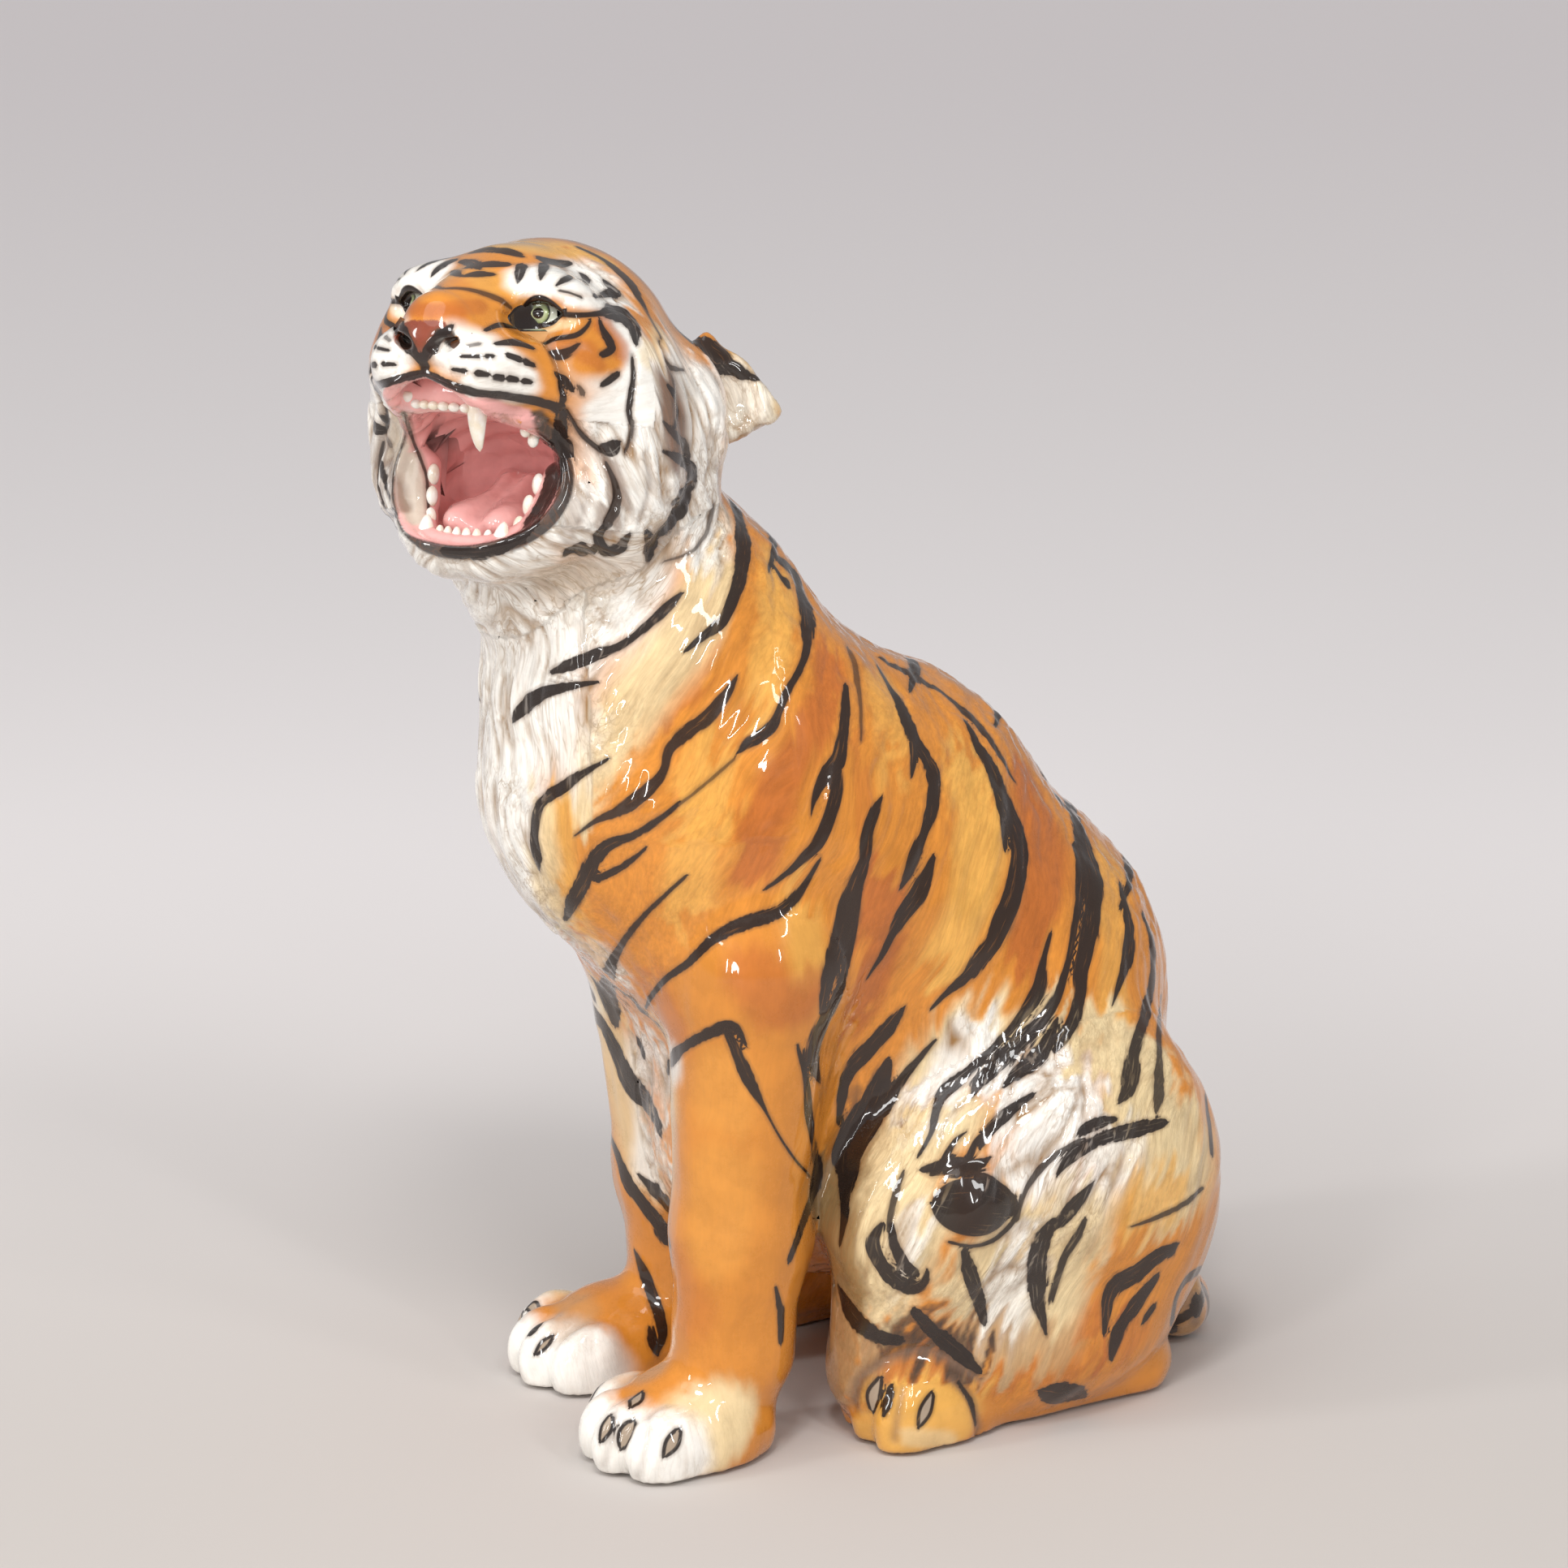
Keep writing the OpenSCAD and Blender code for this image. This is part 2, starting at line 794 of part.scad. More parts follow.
module lower_canine(side) {
    set_in_gums() fang(
        [side * 18, lower_row_y + 4, lower_gum_z - 3],
        [side * 19, lower_row_y + 4, lower_gum_z + lower_canine_l - 3],
        lower_canine_d / 2, [0, -1, 0]
    );
}

module lower_canine_left() {
    lower_canine(1);
}

module lower_canine_right() {
    lower_canine(-1);
}

// Six small teeth side by side
module incisor_row(y, z, height) {
    for (i = [-2.5 : 1 : 2.5])
        egg([i * incisor_w * 1.08, y + 0.35 * i * i, z], [incisor_w / 2, incisor_w * 0.6, height], 8);
}

module upper_incisors() {
    set_in_gums() incisor_row(upper_row_y - 1, upper_gum_z, 5.5);
}

module lower_incisors() {
    set_in_gums() incisor_row(lower_row_y + 1, lower_gum_z + 1, 5);
}

// Three cheek teeth, each smaller than the one before it
module cheek_row(side, start, step, height) {
    for (i = [0 : 2])
        let (at = start + i * step)
        egg(
            [side * at.x, at.y, at.z],
            [cheek_tooth_w * (0.5 - 0.04 * i), cheek_tooth_w * 0.5, height], 8
        );
}

module upper_cheek_teeth(side) {
    set_in_gums() cheek_row(side, [26, upper_row_y + 14, upper_gum_z - 4], [1.5, 5, -4], 5);
}

module upper_cheek_teeth_left() {
    upper_cheek_teeth(1);
}

module upper_cheek_teeth_right() {
    upper_cheek_teeth(-1);
}

module lower_cheek_teeth(side) {
    set_in_gums() cheek_row(side, [22, lower_row_y + 12, lower_gum_z + 8], [2, 3.5, 9.5], 5);
}

module lower_cheek_teeth_left() {
    lower_cheek_teeth(1);
}

module lower_cheek_teeth_right() {
    lower_cheek_teeth(-1);
}

// Ears, laid back: a cupped flap whose hollow faces forwards

// A flap that tapers from its root to a blunt tip
module ear_flap(side, reach, h, t) {
    hull() {
        egg([0, 0, 0], [t * 1.2, t, h / 2], 12);
        egg([side * reach * 0.45, t * 0.4, -h * 0.03], [reach * 0.3, t * 0.9, h * 0.34], 12);
        egg([side * (reach - t), t, h * 0.06], [t, t * 0.7, h * 0.13], 12);
    }
}

module ear(side) {
    color(cream) one_casting() difference() {
        in_head() translate([side * ear_gap / 2, 46, 0]) rotate([0, 0, side * 40]) difference() {
            ear_flap(side, ear_reach, ear_h, ear_t * 1.5);
            translate([0, -ear_t * 1.6, 0]) ear_flap(side, ear_reach - ear_t, ear_h - 2 * ear_t, ear_t * 1.3);
        }
        head_skin();
        trunk_skin();
    }
}

module ear_left() {
    ear(1);
}

module ear_right() {
    ear(-1);
}

// Felt under the feet

// Outline round two circles, one at each end
function pill(a, ra, b, rb, n = 12) =
    let (d = b - a, lean = atan2(d.y, d.x), swing = acos((ra - rb) / norm(d)))
    concat(
        [for (i = [0 : n]) b + rb * dir(lean - swing + 2 * swing * i / n)],
        [for (i = [0 : n]) a + ra * dir(lean + swing + (360 - 2 * swing) * i / n)]
    );

function dir(turn) = [cos(turn), sin(turn)];

module felt(outline) {
    color(felt_black) linear_extrude(felt_t) polygon(outline);
}

module fore_felt(side, wrist_y, toe_y) {
    r = paw_w / 2 - 2 * felt_inset;
    felt(pill([foreleg_x(side), toe_y + r - 8], r, [foreleg_x(side), wrist_y - 12], r - 4));
}

module felt_fore_left() {
    fore_felt(1, left_wrist_y, left_toe_y);
}

module felt_fore_right() {
    fore_felt(-1, right_wrist_y, right_toe_y);
}

module hind_felt(side) {
    r = instep_r - 2 * felt_inset;
    felt(pill([side * hind_paw_at.x, hind_paw_at.y], r + 4, [side * heel_at.x, heel_at.y], r));
}

module felt_hind_left() {
    hind_felt(1);
}

module felt_hind_right() {
    hind_felt(-1);
}

torso();
head();
lower_jaw();
mouth_lining();
tongue();
upper_incisors();
upper_canine_left();
upper_canine_right();
lower_incisors();
lower_canine_left();
lower_canine_right();
upper_cheek_teeth_left();
upper_cheek_teeth_right();
lower_cheek_teeth_left();
lower_cheek_teeth_right();
ear_left();
ear_right();
foreleg_left();
foreleg_right();
haunch_left();
haunch_right();
hind_foot_left();
hind_foot_right();
tail();
felt_fore_left();
felt_fore_right();
felt_hind_left();
felt_hind_right();
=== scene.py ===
# %% [markdown]
# # A seated roaring tiger in glazed earthenware
#
# The real figure is slip-cast in sections, luted together, painted under the glaze and fired. The packed
# model gives the sections as plain solids in one frame. This lesson models the same sections as clay:
# smooth lumps that run into each other, worked over with fur locks, folds, lips and lids, and then
# painted with brush strokes under a clear glaze.

# %% Load the frame
import math

import bpy
import numpy as np
import openvdb
from mathutils import Matrix, Vector
from mathutils.bvhtree import BVHTree


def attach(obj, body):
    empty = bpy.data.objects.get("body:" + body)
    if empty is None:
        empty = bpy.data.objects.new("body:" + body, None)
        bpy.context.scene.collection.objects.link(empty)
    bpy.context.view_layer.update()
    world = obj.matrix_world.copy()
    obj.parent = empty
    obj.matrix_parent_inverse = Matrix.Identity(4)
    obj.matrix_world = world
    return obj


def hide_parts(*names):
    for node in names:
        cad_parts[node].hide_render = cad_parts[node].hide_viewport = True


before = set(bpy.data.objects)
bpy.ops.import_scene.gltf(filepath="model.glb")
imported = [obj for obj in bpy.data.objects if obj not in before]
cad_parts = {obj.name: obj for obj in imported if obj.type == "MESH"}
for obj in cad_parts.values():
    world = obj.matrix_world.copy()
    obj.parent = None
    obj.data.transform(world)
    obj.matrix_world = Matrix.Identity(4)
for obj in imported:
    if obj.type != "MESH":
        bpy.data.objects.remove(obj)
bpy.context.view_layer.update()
print("nodes in the frame:", len(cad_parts))

# %% [markdown]
# ## Camera
#
# The figure is seen from its front left, a little from above, through a long lens. The camera stands on a
# line from the target at an azimuth and an elevation, and the lens follows from how many pixels a
# millimetre takes at the target. Lengths of the clay are millimetres, and become metres in the meshes.

# %% The camera
MM = 0.001
PHOTO_SIDE = 1932
PIXELS_PER_MM = 2.6
CAMERA_FAR = 2200.0
CAMERA_AZIMUTH = math.radians(66)
CAMERA_HEIGHT = math.radians(15)
CAMERA_TARGET = np.array([-28.0, 7.0, 290.0])
SENSOR = 36.0

flat = math.cos(CAMERA_HEIGHT)
view_back = np.array([
    math.sin(CAMERA_AZIMUTH) * flat, -math.cos(CAMERA_AZIMUTH) * flat, math.sin(CAMERA_HEIGHT),
])
view_right = np.array([math.cos(CAMERA_AZIMUTH), math.sin(CAMERA_AZIMUTH), 0.0])
view_up = np.cross(view_back, view_right)
eye_point = CAMERA_TARGET + view_back * CAMERA_FAR
focal_pixels = PIXELS_PER_MM * CAMERA_FAR

lens = bpy.data.cameras.new("camera")
lens.sensor_width = SENSOR
lens.lens = SENSOR * focal_pixels / PHOTO_SIDE
lens.clip_end = 50
camera = bpy.data.objects.new("camera", lens)
turn = Matrix((view_right, view_up, view_back)).transposed()
camera.matrix_world = Matrix.Translation(Vector(eye_point * MM)) @ turn.to_4x4()
bpy.context.scene.collection.objects.link(camera)
bpy.context.scene.camera = camera
print("lens", round(lens.lens, 1), "mm")

# %% [markdown]
# ## Clay
#
# A casting is described by lumps: balls (ellipsoids) and limbs (round cones). Each one is a function that
# gives the distance from a point to its skin, below zero inside, and a soft minimum runs two lumps into
# each other as fingers run two pieces of clay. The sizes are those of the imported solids.

# %% Lumps
F = np.float32


def length(v):
    return np.sqrt(np.einsum("ij,ij->i", v, v))


def ball(p, at, size, lean=0.0):
    q = p - np.array(at, F)
    if lean:
        c, s = F(math.cos(math.radians(lean))), F(math.sin(math.radians(lean)))
        q = np.stack([q[:, 0], q[:, 1] * c - q[:, 2] * s, q[:, 1] * s + q[:, 2] * c], 1)
    r = np.array(size, F) / 2
    near = length(q / r)
    slope = length(q / (r * r))
    return near * (near - 1) / np.maximum(slope, F(1e-6))


def limb(p, a, ra, b, rb):
    a, b = np.array(a, F), np.array(b, F)
    ab = b - a
    t = np.clip((p - a) @ ab / F(ab @ ab), 0, 1)
    return length(p - a - t[:, None] * ab) - (F(ra) + F(rb - ra) * t)


def soft_min(a, b, k):
    h = np.clip(0.5 + 0.5 * (b - a) / F(k), 0, 1)
    return b + (a - b) * h - F(k) * h * (1 - h)


def soft_max(a, b, k):
    return -soft_min(-a, -b, k)


def run_together(lumps):
    far = lumps[0][0]
    for lump, blend in lumps[1:]:
        far = soft_min(far, lump, blend)
    return far


def mirrored(p):
    q = p.copy()
    q[:, 0] = np.abs(q[:, 0])
    return q


print("lumps: ball and limb")

# %% [markdown]
# ## Trunk, legs and tail
#
# The trunk, the haunches and the hind feet are the same on both sides, so their lumps are given once for
# the left and read with the absolute value of X. The two forelegs stand apart: the right one is set back.

# %% Trunk and legs
TRUNK_BLEND = 35
LEFT_FORELEG_X, RIGHT_FORELEG_X = 61, 50
SHOULDER = (44, -35, 284)
ELBOW_Y, ELBOW_Z = -48, 235
WRIST_Z, WRIST_R = 48, 29
PAW_W, PAW_H, TOE_R = 74, 42, 12.5
LEFT_WRIST_Y, LEFT_TOE_Y = -58, -111
RIGHT_WRIST_Y, RIGHT_TOE_Y = -35, -105
FELT_T = 2.0


def trunk_clay(p):
    s = mirrored(p)
    return run_together([
        (limb(s, (0, -109, 446), 52, (0, -82, 392), 67), 0),
        (ball(s, (0, -62, 318), (164, 180, 196), 18), TRUNK_BLEND),
        (ball(s, SHOULDER, (92, 124, 176), 14), TRUNK_BLEND),
        (ball(s, (0, 19, 251), (172, 220, 220), 35), TRUNK_BLEND),
        (ball(s, (0, 88, 172), (180, 194, 224), 30), TRUNK_BLEND),
        (ball(s, (0, 113, 80), (196, 184, 180)), TRUNK_BLEND),
        (ball(s, (0, -5, 140), (132, 132, 160)), TRUNK_BLEND),
    ])


def foreleg_clay(p, x, wrist_y, toe_y):
    elbow = (x, ELBOW_Y, ELBOW_Z)
    knee = (x, ELBOW_Y + (wrist_y - ELBOW_Y) * 0.7, WRIST_Z + (ELBOW_Z - WRIST_Z) * 0.28)
    wrist = (x, wrist_y, WRIST_Z)
    paw_l = wrist_y - toe_y + 30
    lumps = [
        (limb(p, SHOULDER, 29.25, elbow, 39), 0),
        (limb(p, elbow, 39, knee, WRIST_R + 1), 16),
        (limb(p, knee, WRIST_R, wrist, WRIST_R), 14),
        (ball(p, (x, (wrist_y + toe_y) / 2 + 4, PAW_H * 0.3), (PAW_W - 4, paw_l, PAW_H * 1.4)), 12),
    ]
    for toe in (-1.5, -0.5, 0.5, 1.5):
        at = (x + toe * (PAW_W / 2 - TOE_R) / 1.5, toe_y + 5 * (toe * toe - 0.25), PAW_H * 0.3)
        lumps.append((ball(p, at, (2 * TOE_R, 3.4 * TOE_R, PAW_H)), 4))
    return run_together(lumps)


def haunch_clay(p):
    return run_together([
        (ball(p, (66, 107, 108), (96, 168, 192), -20), 0),
        (ball(p, (80, 63, 118), (72, 132, 116), -20), 22),
        (ball(p, (84, 27, 108), (62, 76, 88)), 22),
        (limb(p, (80, 17, 95), 28, (72, 15, 30), 28), 22),
        (ball(p, (74, 81, 35), (76, 152, 72)), 22),
    ])


def hind_foot_clay(p):
    lumps = [
        (limb(p, (71, 145, 13), 20.5, (80, 55, 13), 20.5), 0),
        (ball(p, (83, 31, 14), (56, 68, 64)), 10),
    ]
    for toe in (-1, 0, 1):
        at = (83 + toe * 17.5, 31 + 3 * toe * toe - 20, 12)
        lumps.append((ball(p, at, (23, 35, 44.8)), 4))
    return run_together(lumps)


print("clay of the trunk, forelegs, haunches and hind feet")

# %% Tail
TAIL_PATH = [
    (10, 189, 62), (30, 187, 34), (32, 193, 18), (6, 206, 16),
    (-42, 203, 16), (-80, 181, 16), (-101, 145, 16), (-106, 103, 14),
]
TAIL_R = [20, 17, 15, 14, 14, 14, 13, 9]


def smooth_path(points, steps):
    pts = np.array(points, float)
    out = []
    for i in range(len(pts) - 1):
        a, b, c, d = pts[max(i - 1, 0)], pts[i], pts[i + 1], pts[min(i + 2, len(pts) - 1)]
        for f in np.arange(steps) / steps:
            out.append((2 * b + (c - a) * f + (2 * a - 5 * b + 4 * c - d) * f * f
                        + (3 * b - a - 3 * c + d) * f ** 3) / 2)
    out.append(pts[-1])
    return np.array(out)


tail_line = smooth_path([p + (r,) for p, r in zip(TAIL_PATH, TAIL_R)], 3)


def tail_clay(p):
    far = None
    for a, b in zip(tail_line[:-1], tail_line[1:]):
        piece = limb(p, a[:3], a[3], b[:3], b[3])
        far = piece if far is None else np.minimum(far, piece)
    return far


print("tail sections", len(tail_line) - 1)

# %% [markdown]
# ## Head
#
# The head turns to the tiger's left and lifts its nose, so it is worked in a frame of its own: the nose
# points to -Y, X runs to the tiger's left. The mouth is a hollow with a lip: the lip is a tube round the
# line where the skin of the face and the skin of the hollow meet, which is where both distances are zero.

# %% Head and mouth
HEAD_AT = np.array([6.0, -126.0, 498.0])
HEAD_LIFT, HEAD_TURN = math.radians(-12), math.radians(41)
head_turn = np.array(Matrix.Rotation(HEAD_TURN, 3, "Z") @ Matrix.Rotation(HEAD_LIFT, 3, "X"))
LIP_R = 3.0


def in_head(p):
    return ((p - HEAD_AT.astype(F)) @ head_turn.astype(F)).astype(F)


def from_head(q):
    return np.asarray(q) @ head_turn.T + HEAD_AT


EYE_BALL_AT = (27.5, -57, 27)


def face_clay(s):
    face = run_together([
        (ball(s, (0, 2, 8), (116, 126, 112)), 0),
        (limb(s, (0, -45, 28), 27, (0, -96, 18), 16.5), 20),
        (ball(s, (27, -53, 35), (37, 36, 25)), 12),
        (ball(s, (40, -36, 4), (42, 60, 56)), 18),
        (limb(s, (27, -76, 0), 12, (39, -54, -3), 12), 12),
        (ball(s, (0, -50, 2), (86, 92, 44)), 18),
        (ball(s, (17, -88, 2), (34, 42, 32)), 10),
        (ball(s, (48, -8, -28), (52, 68, 96)), 22),
        (ball(s, (52, 33, -20), (46, 50, 84)), 18),
        (limb(s, (0, 10, -40), 50, (0, 20, -72), 46), 25),
        (ball(s, (0, -105, 12), (30, 18, 20)), 5),
    ])
    face = soft_max(face, -ball(s, (33, -73, 27), (26, 24, 15)), 6)
    face = soft_min(face, ball(s, EYE_BALL_AT, (20, 19, 17)), 2)
    return soft_max(face, -limb(s, (7, -114, 9), 2.5, (12, -106, 12), 3), 3)


def jaw_clay(s):
    return run_together([
        (limb(s, (36, -32, -52), 19, (16, -54, -73), 11), 0),
        (ball(s, (0, -58, -75), (46, 28, 18)), 12),
        (ball(s, (0, -24, -68), (72, 76, 44)), 18),
    ])


def mouth_room(s):
    return run_together([
        (ball(s, (0, -64, -44), (86, 106, 66)), 0),
        (ball(s, (0, -30, -46), (56, 60, 48)), 10),
        (ball(s, (0, -92, -22), (50, 56, 44)), 10),
    ])


UPPER_RIDGE = [((0, -86, -9), 9), ((15, -82, -10), 8.5), ((29, -70, -13), 7.5), ((33, -56, -22), 3.5)]
LOWER_RIDGE = [
    ((0, -65, -75), 5.5), ((16, -61, -74), 5.5), ((28, -50, -68), 8), ((33, -44, -56), 9),
    ((34, -40, -42), 8),
]


def gum_clay(s):
    ridges = []
    for ridge in (UPPER_RIDGE, LOWER_RIDGE):
        for (a, ra), (b, rb) in zip(ridge[:-1], ridge[1:]):
            ridges.append((limb(s, a, ra, b, rb), 3))
    return run_together(ridges)


EAR_ROOT = (57, 46, 0)
EAR_SWING = math.radians(40)


def ear_clay(s):
    c, n = F(math.cos(EAR_SWING)), F(math.sin(EAR_SWING))
    q = s - np.array(EAR_ROOT, F)
    q = np.stack([q[:, 0] * c + q[:, 1] * n, -q[:, 0] * n + q[:, 1] * c, q[:, 2]], 1)
    flap = run_together([
        (ball(q, (0, 1, 0), (18, 16, 58)), 0),
        (ball(q, (11, 3, 0), (32, 14, 42)), 10),
        (ball(q, (21, 5, -2), (26, 11, 23)), 8),
        (ball(q, (30, 6, -4), (18, 8, 9)), 7),
    ])
    hollow = run_together([
        (ball(q, (4, -9, 0), (22, 20, 40)), 0),
        (ball(q, (14, -5, -2), (32, 16, 26)), 8),
    ])
    return soft_max(flap, -hollow, 3)


print("clay of the head, jaw, mouth, gums and ears")

# %% [markdown]
# ## One skin
#
# All lumps run together into one field, and each point also knows which casting it is nearest to. The
# field is meshed on a grid with OpenVDB: only the cells near the skin are worked out.

# %% The whole field
CASTINGS = [
    "torso", "foreleg_left", "foreleg_right", "haunch_left", "haunch_right", "hind_foot_left",
    "hind_foot_right", "tail", "head", "lower_jaw", "ear_left", "ear_right", "mouth_lining",
]
HEAD, LINING = 8, 12
HEAD_LOW = 330.0
LEG_TOP, LEG_BACK = 340, 60
HAUNCH_TOP, HAUNCH_FRONT = 260, -80
TAIL_TOP, TAIL_FRONT = 110, 50
FAR_OFF = F(400.0)
LIMB_BLEND, FOOT_BLEND = 14, 5
JAW_BLEND, EAR_BLEND, NECK_BLEND = 10, 6, 14
LIP_BLEND, GUM_BLEND = 3, 4


def castings_of(p):
    """Distance to each casting's own clay, one column each, and the mouth's room."""
    n = len(p)
    left = p[:, 0] >= 0
    s = mirrored(p)
    far = np.full((n, len(CASTINGS)), FAR_OFF, F)
    far[:, 0] = trunk_clay(p)
    low = p[:, 2] < LEG_TOP
    left_leg = (1, left, LEFT_FORELEG_X, LEFT_WRIST_Y, LEFT_TOE_Y)
    right_leg = (2, ~left, RIGHT_FORELEG_X, RIGHT_WRIST_Y, RIGHT_TOE_Y)
    for column, side, x, wrist, toe in (left_leg, right_leg):
        m = side & low & (p[:, 1] < LEG_BACK)
        far[m, column] = foreleg_clay(s[m], x, wrist, toe)
    m = (p[:, 2] < HAUNCH_TOP) & (p[:, 1] > HAUNCH_FRONT)
    haunch, foot = haunch_clay(s[m]), hind_foot_clay(s[m])
    far[m, 3], far[m, 4] = np.where(left[m], haunch, FAR_OFF), np.where(left[m], FAR_OFF, haunch)
    far[m, 5], far[m, 6] = np.where(left[m], foot, FAR_OFF), np.where(left[m], FAR_OFF, foot)
    m = (p[:, 2] < TAIL_TOP) & (p[:, 1] > TAIL_FRONT)
    far[m, 7] = tail_clay(p[m])
    room = np.full(n, FAR_OFF, F)
    m = p[:, 2] > HEAD_LOW
    q = in_head(p[m])
    s = mirrored(q)
    far[m, 8], far[m, 9] = face_clay(s), jaw_clay(s)
    ear = ear_clay(s)
    far[m, 10], far[m, 11] = np.where(q[:, 0] >= 0, ear, FAR_OFF), np.where(q[:, 0] >= 0, FAR_OFF, ear)
    room[m] = mouth_room(s)
    far[m, LINING] = gum_clay(s)
    return far, room


def tiger(p):
    far, room = castings_of(p)
    body = far[:, 0]
    for column in range(1, HEAD):
        body = soft_min(body, far[:, column], LIMB_BLEND if column < 5 else FOOT_BLEND)
    face = soft_min(far[:, HEAD], far[:, 9], JAW_BLEND)
    face = soft_min(face, np.minimum(far[:, 10], far[:, 11]), EAR_BLEND)
    flesh = soft_min(body, face, NECK_BLEND)
    lip = np.sqrt(flesh * flesh + room * room) - F(LIP_R)
    skin = soft_max(flesh, -room, LIP_BLEND)
    skin = soft_min(skin, lip, LIP_BLEND)
    skin = soft_min(skin, far[:, LINING], GUM_BLEND)
    return np.maximum(skin, F(FELT_T) - p[:, 2])


print("castings in the field", len(CASTINGS))

# %% Mesh the field
CELL = 1.8
GRID_LOW = np.array([-130.0, -236.0, -4.0])
GRID_HIGH = np.array([130.0, 236.0, 580.0])
BLOCK, BLOCK_REACH = 4, 1.9
FIELD_OUTSIDE = 50.0


def mesh_of(field, low, high, cell):
    blocks = np.ceil((high - low) / (cell * BLOCK)).astype(int)
    coarse = [low[i] + cell * BLOCK * (np.arange(blocks[i]) + 0.5) for i in range(3)]
    centres = np.stack(np.meshgrid(*coarse, indexing="ij"), -1).reshape(-1, 3)
    rough = field(centres.astype(F))
    size = blocks * BLOCK
    values = np.repeat(np.repeat(np.repeat(rough.reshape(blocks), BLOCK, 0), BLOCK, 1), BLOCK, 2).copy()
    near = np.abs(rough) < cell * BLOCK * BLOCK_REACH
    corner = np.argwhere(near.reshape(blocks)) * BLOCK
    inner = np.stack(np.meshgrid(*[np.arange(BLOCK)] * 3, indexing="ij"), -1).reshape(-1, 3)
    index = (corner[:, None, :] + inner[None]).reshape(-1, 3)
    points = low + cell * index
    values[index[:, 0], index[:, 1], index[:, 2]] = field(points.astype(F))
    grid = openvdb.FloatGrid()
    grid.background = FIELD_OUTSIDE
    grid.copyFromArray(np.ascontiguousarray(values, dtype=F))
    verts, quads = grid.convertToQuads(isovalue=0.0)
    print("cells worked out", len(points), "of", int(np.prod(size)), "faces", len(quads))
    return low + verts * cell, quads.astype(np.int32)


def slope_of(field, p, step=0.6):
    """Unit normal of the field, and the field, from four samples round each point."""
    corners = np.array([[1, 1, 1], [1, -1, -1], [-1, 1, -1], [-1, -1, 1]], F)
    normal = np.zeros_like(p, dtype=F)
    value = np.zeros(len(p), F)
    for corner in corners:
        d = field((p + corner * F(step)).astype(F))
        normal += corner * d[:, None]
        value += d / 4
    size = length(normal)
    return normal / np.maximum(size, F(1e-6))[:, None], value, size / F(4 * step)


def settle(field, p, rounds=2):
    """Moves points onto the field's skin."""
    p = p.astype(F)
    for _ in range(rounds):
        normal, value, steep = slope_of(field, p)
        p = p - normal * np.clip(value / np.maximum(steep, F(0.3)), -2, 2)[:, None]
    return p


skin_points, skin_quads = mesh_of(tiger, GRID_LOW, GRID_HIGH, CELL)
skin_points = settle(tiger, skin_points)
print("skin", len(skin_points), "points")


def cut_in_four(points, quads, chosen):
    """Cuts each chosen face into four. Also gives the edge middles that an uncut neighbour doesn't share."""
    cut = quads[chosen]
    edges = np.sort(np.stack([cut, np.roll(cut, -1, 1)], 2).reshape(-1, 2), 1)
    pairs, which, uses = np.unique(edges, axis=0, return_inverse=True, return_counts=True)
    first = len(points)
    which = which.reshape(-1, 4) + first
    middle = first + len(pairs) + np.arange(len(cut))
    fours = [np.stack([cut[:, i], which[:, i], middle, which[:, (i + 3) % 4]], 1) for i in range(4)]
    points = np.concatenate([points, points[pairs].mean(1), points[cut].mean(1)])
    lone = uses == 1
    quads = np.concatenate([quads[~chosen]] + fours).astype(np.int32)
    return points, quads, first + np.flatnonzero(lone), pairs[lone]


FACE_BACK, FACE_UNDER, FACE_HALF_W = -12.0, -96.0, 72
face_at = in_head(skin_points[skin_quads].mean(1).astype(F))
on_face = (face_at[:, 1] < FACE_BACK) & (face_at[:, 2] > FACE_UNDER) & (np.abs(face_at[:, 0]) < FACE_HALF_W)
coarse_count = len(skin_points)
skin_points, skin_quads, hanging, hung_between = cut_in_four(skin_points, skin_quads, on_face)
settled = settle(tiger, skin_points[coarse_count:])
settled[hanging - coarse_count] = skin_points[hanging]
skin_points[coarse_count:] = settled
print("finer face", int(on_face.sum()), "faces cut in four")

# %% [markdown]
# ## Where the painter's brush lands
#
# The stripes were read off the photograph as brush strokes: a list of points in its pixels, each with the
# brush's half width there. A ray from the camera through a pixel finds the point of the clay below it, so
# every stroke lies on the skin and stays there when the figure is turned. What the photograph can't show
# is the far side, and there the strokes are repeated in the mirror.

# %% From a pixel to the clay
skin_normals = slope_of(tiger, skin_points)[0]
skin_tree = BVHTree.FromPolygons(skin_points.tolist(), skin_quads.tolist())
lens_at = Vector(eye_point)
MIRROR_REACH, STROKE_JUMP = 14, 16
MOST_SPREAD = 1.7
NO_STROKE = (50.0, 0.0, 50.0)
NO_EYE = 90.0


def under_pixel(x, y, reach):
    across, above = (x - PHOTO_SIDE / 2) / focal_pixels, (PHOTO_SIDE / 2 - y) / focal_pixels
    way = Vector(view_right * across + view_up * above - view_back).normalized()
    at, normal, _, far = skin_tree.ray_cast(lens_at, way)
    if at is None:
        at, normal, _, _ = skin_tree.find_nearest(lens_at + way * reach)
        far = reach
    return np.array(at), np.array(normal), far


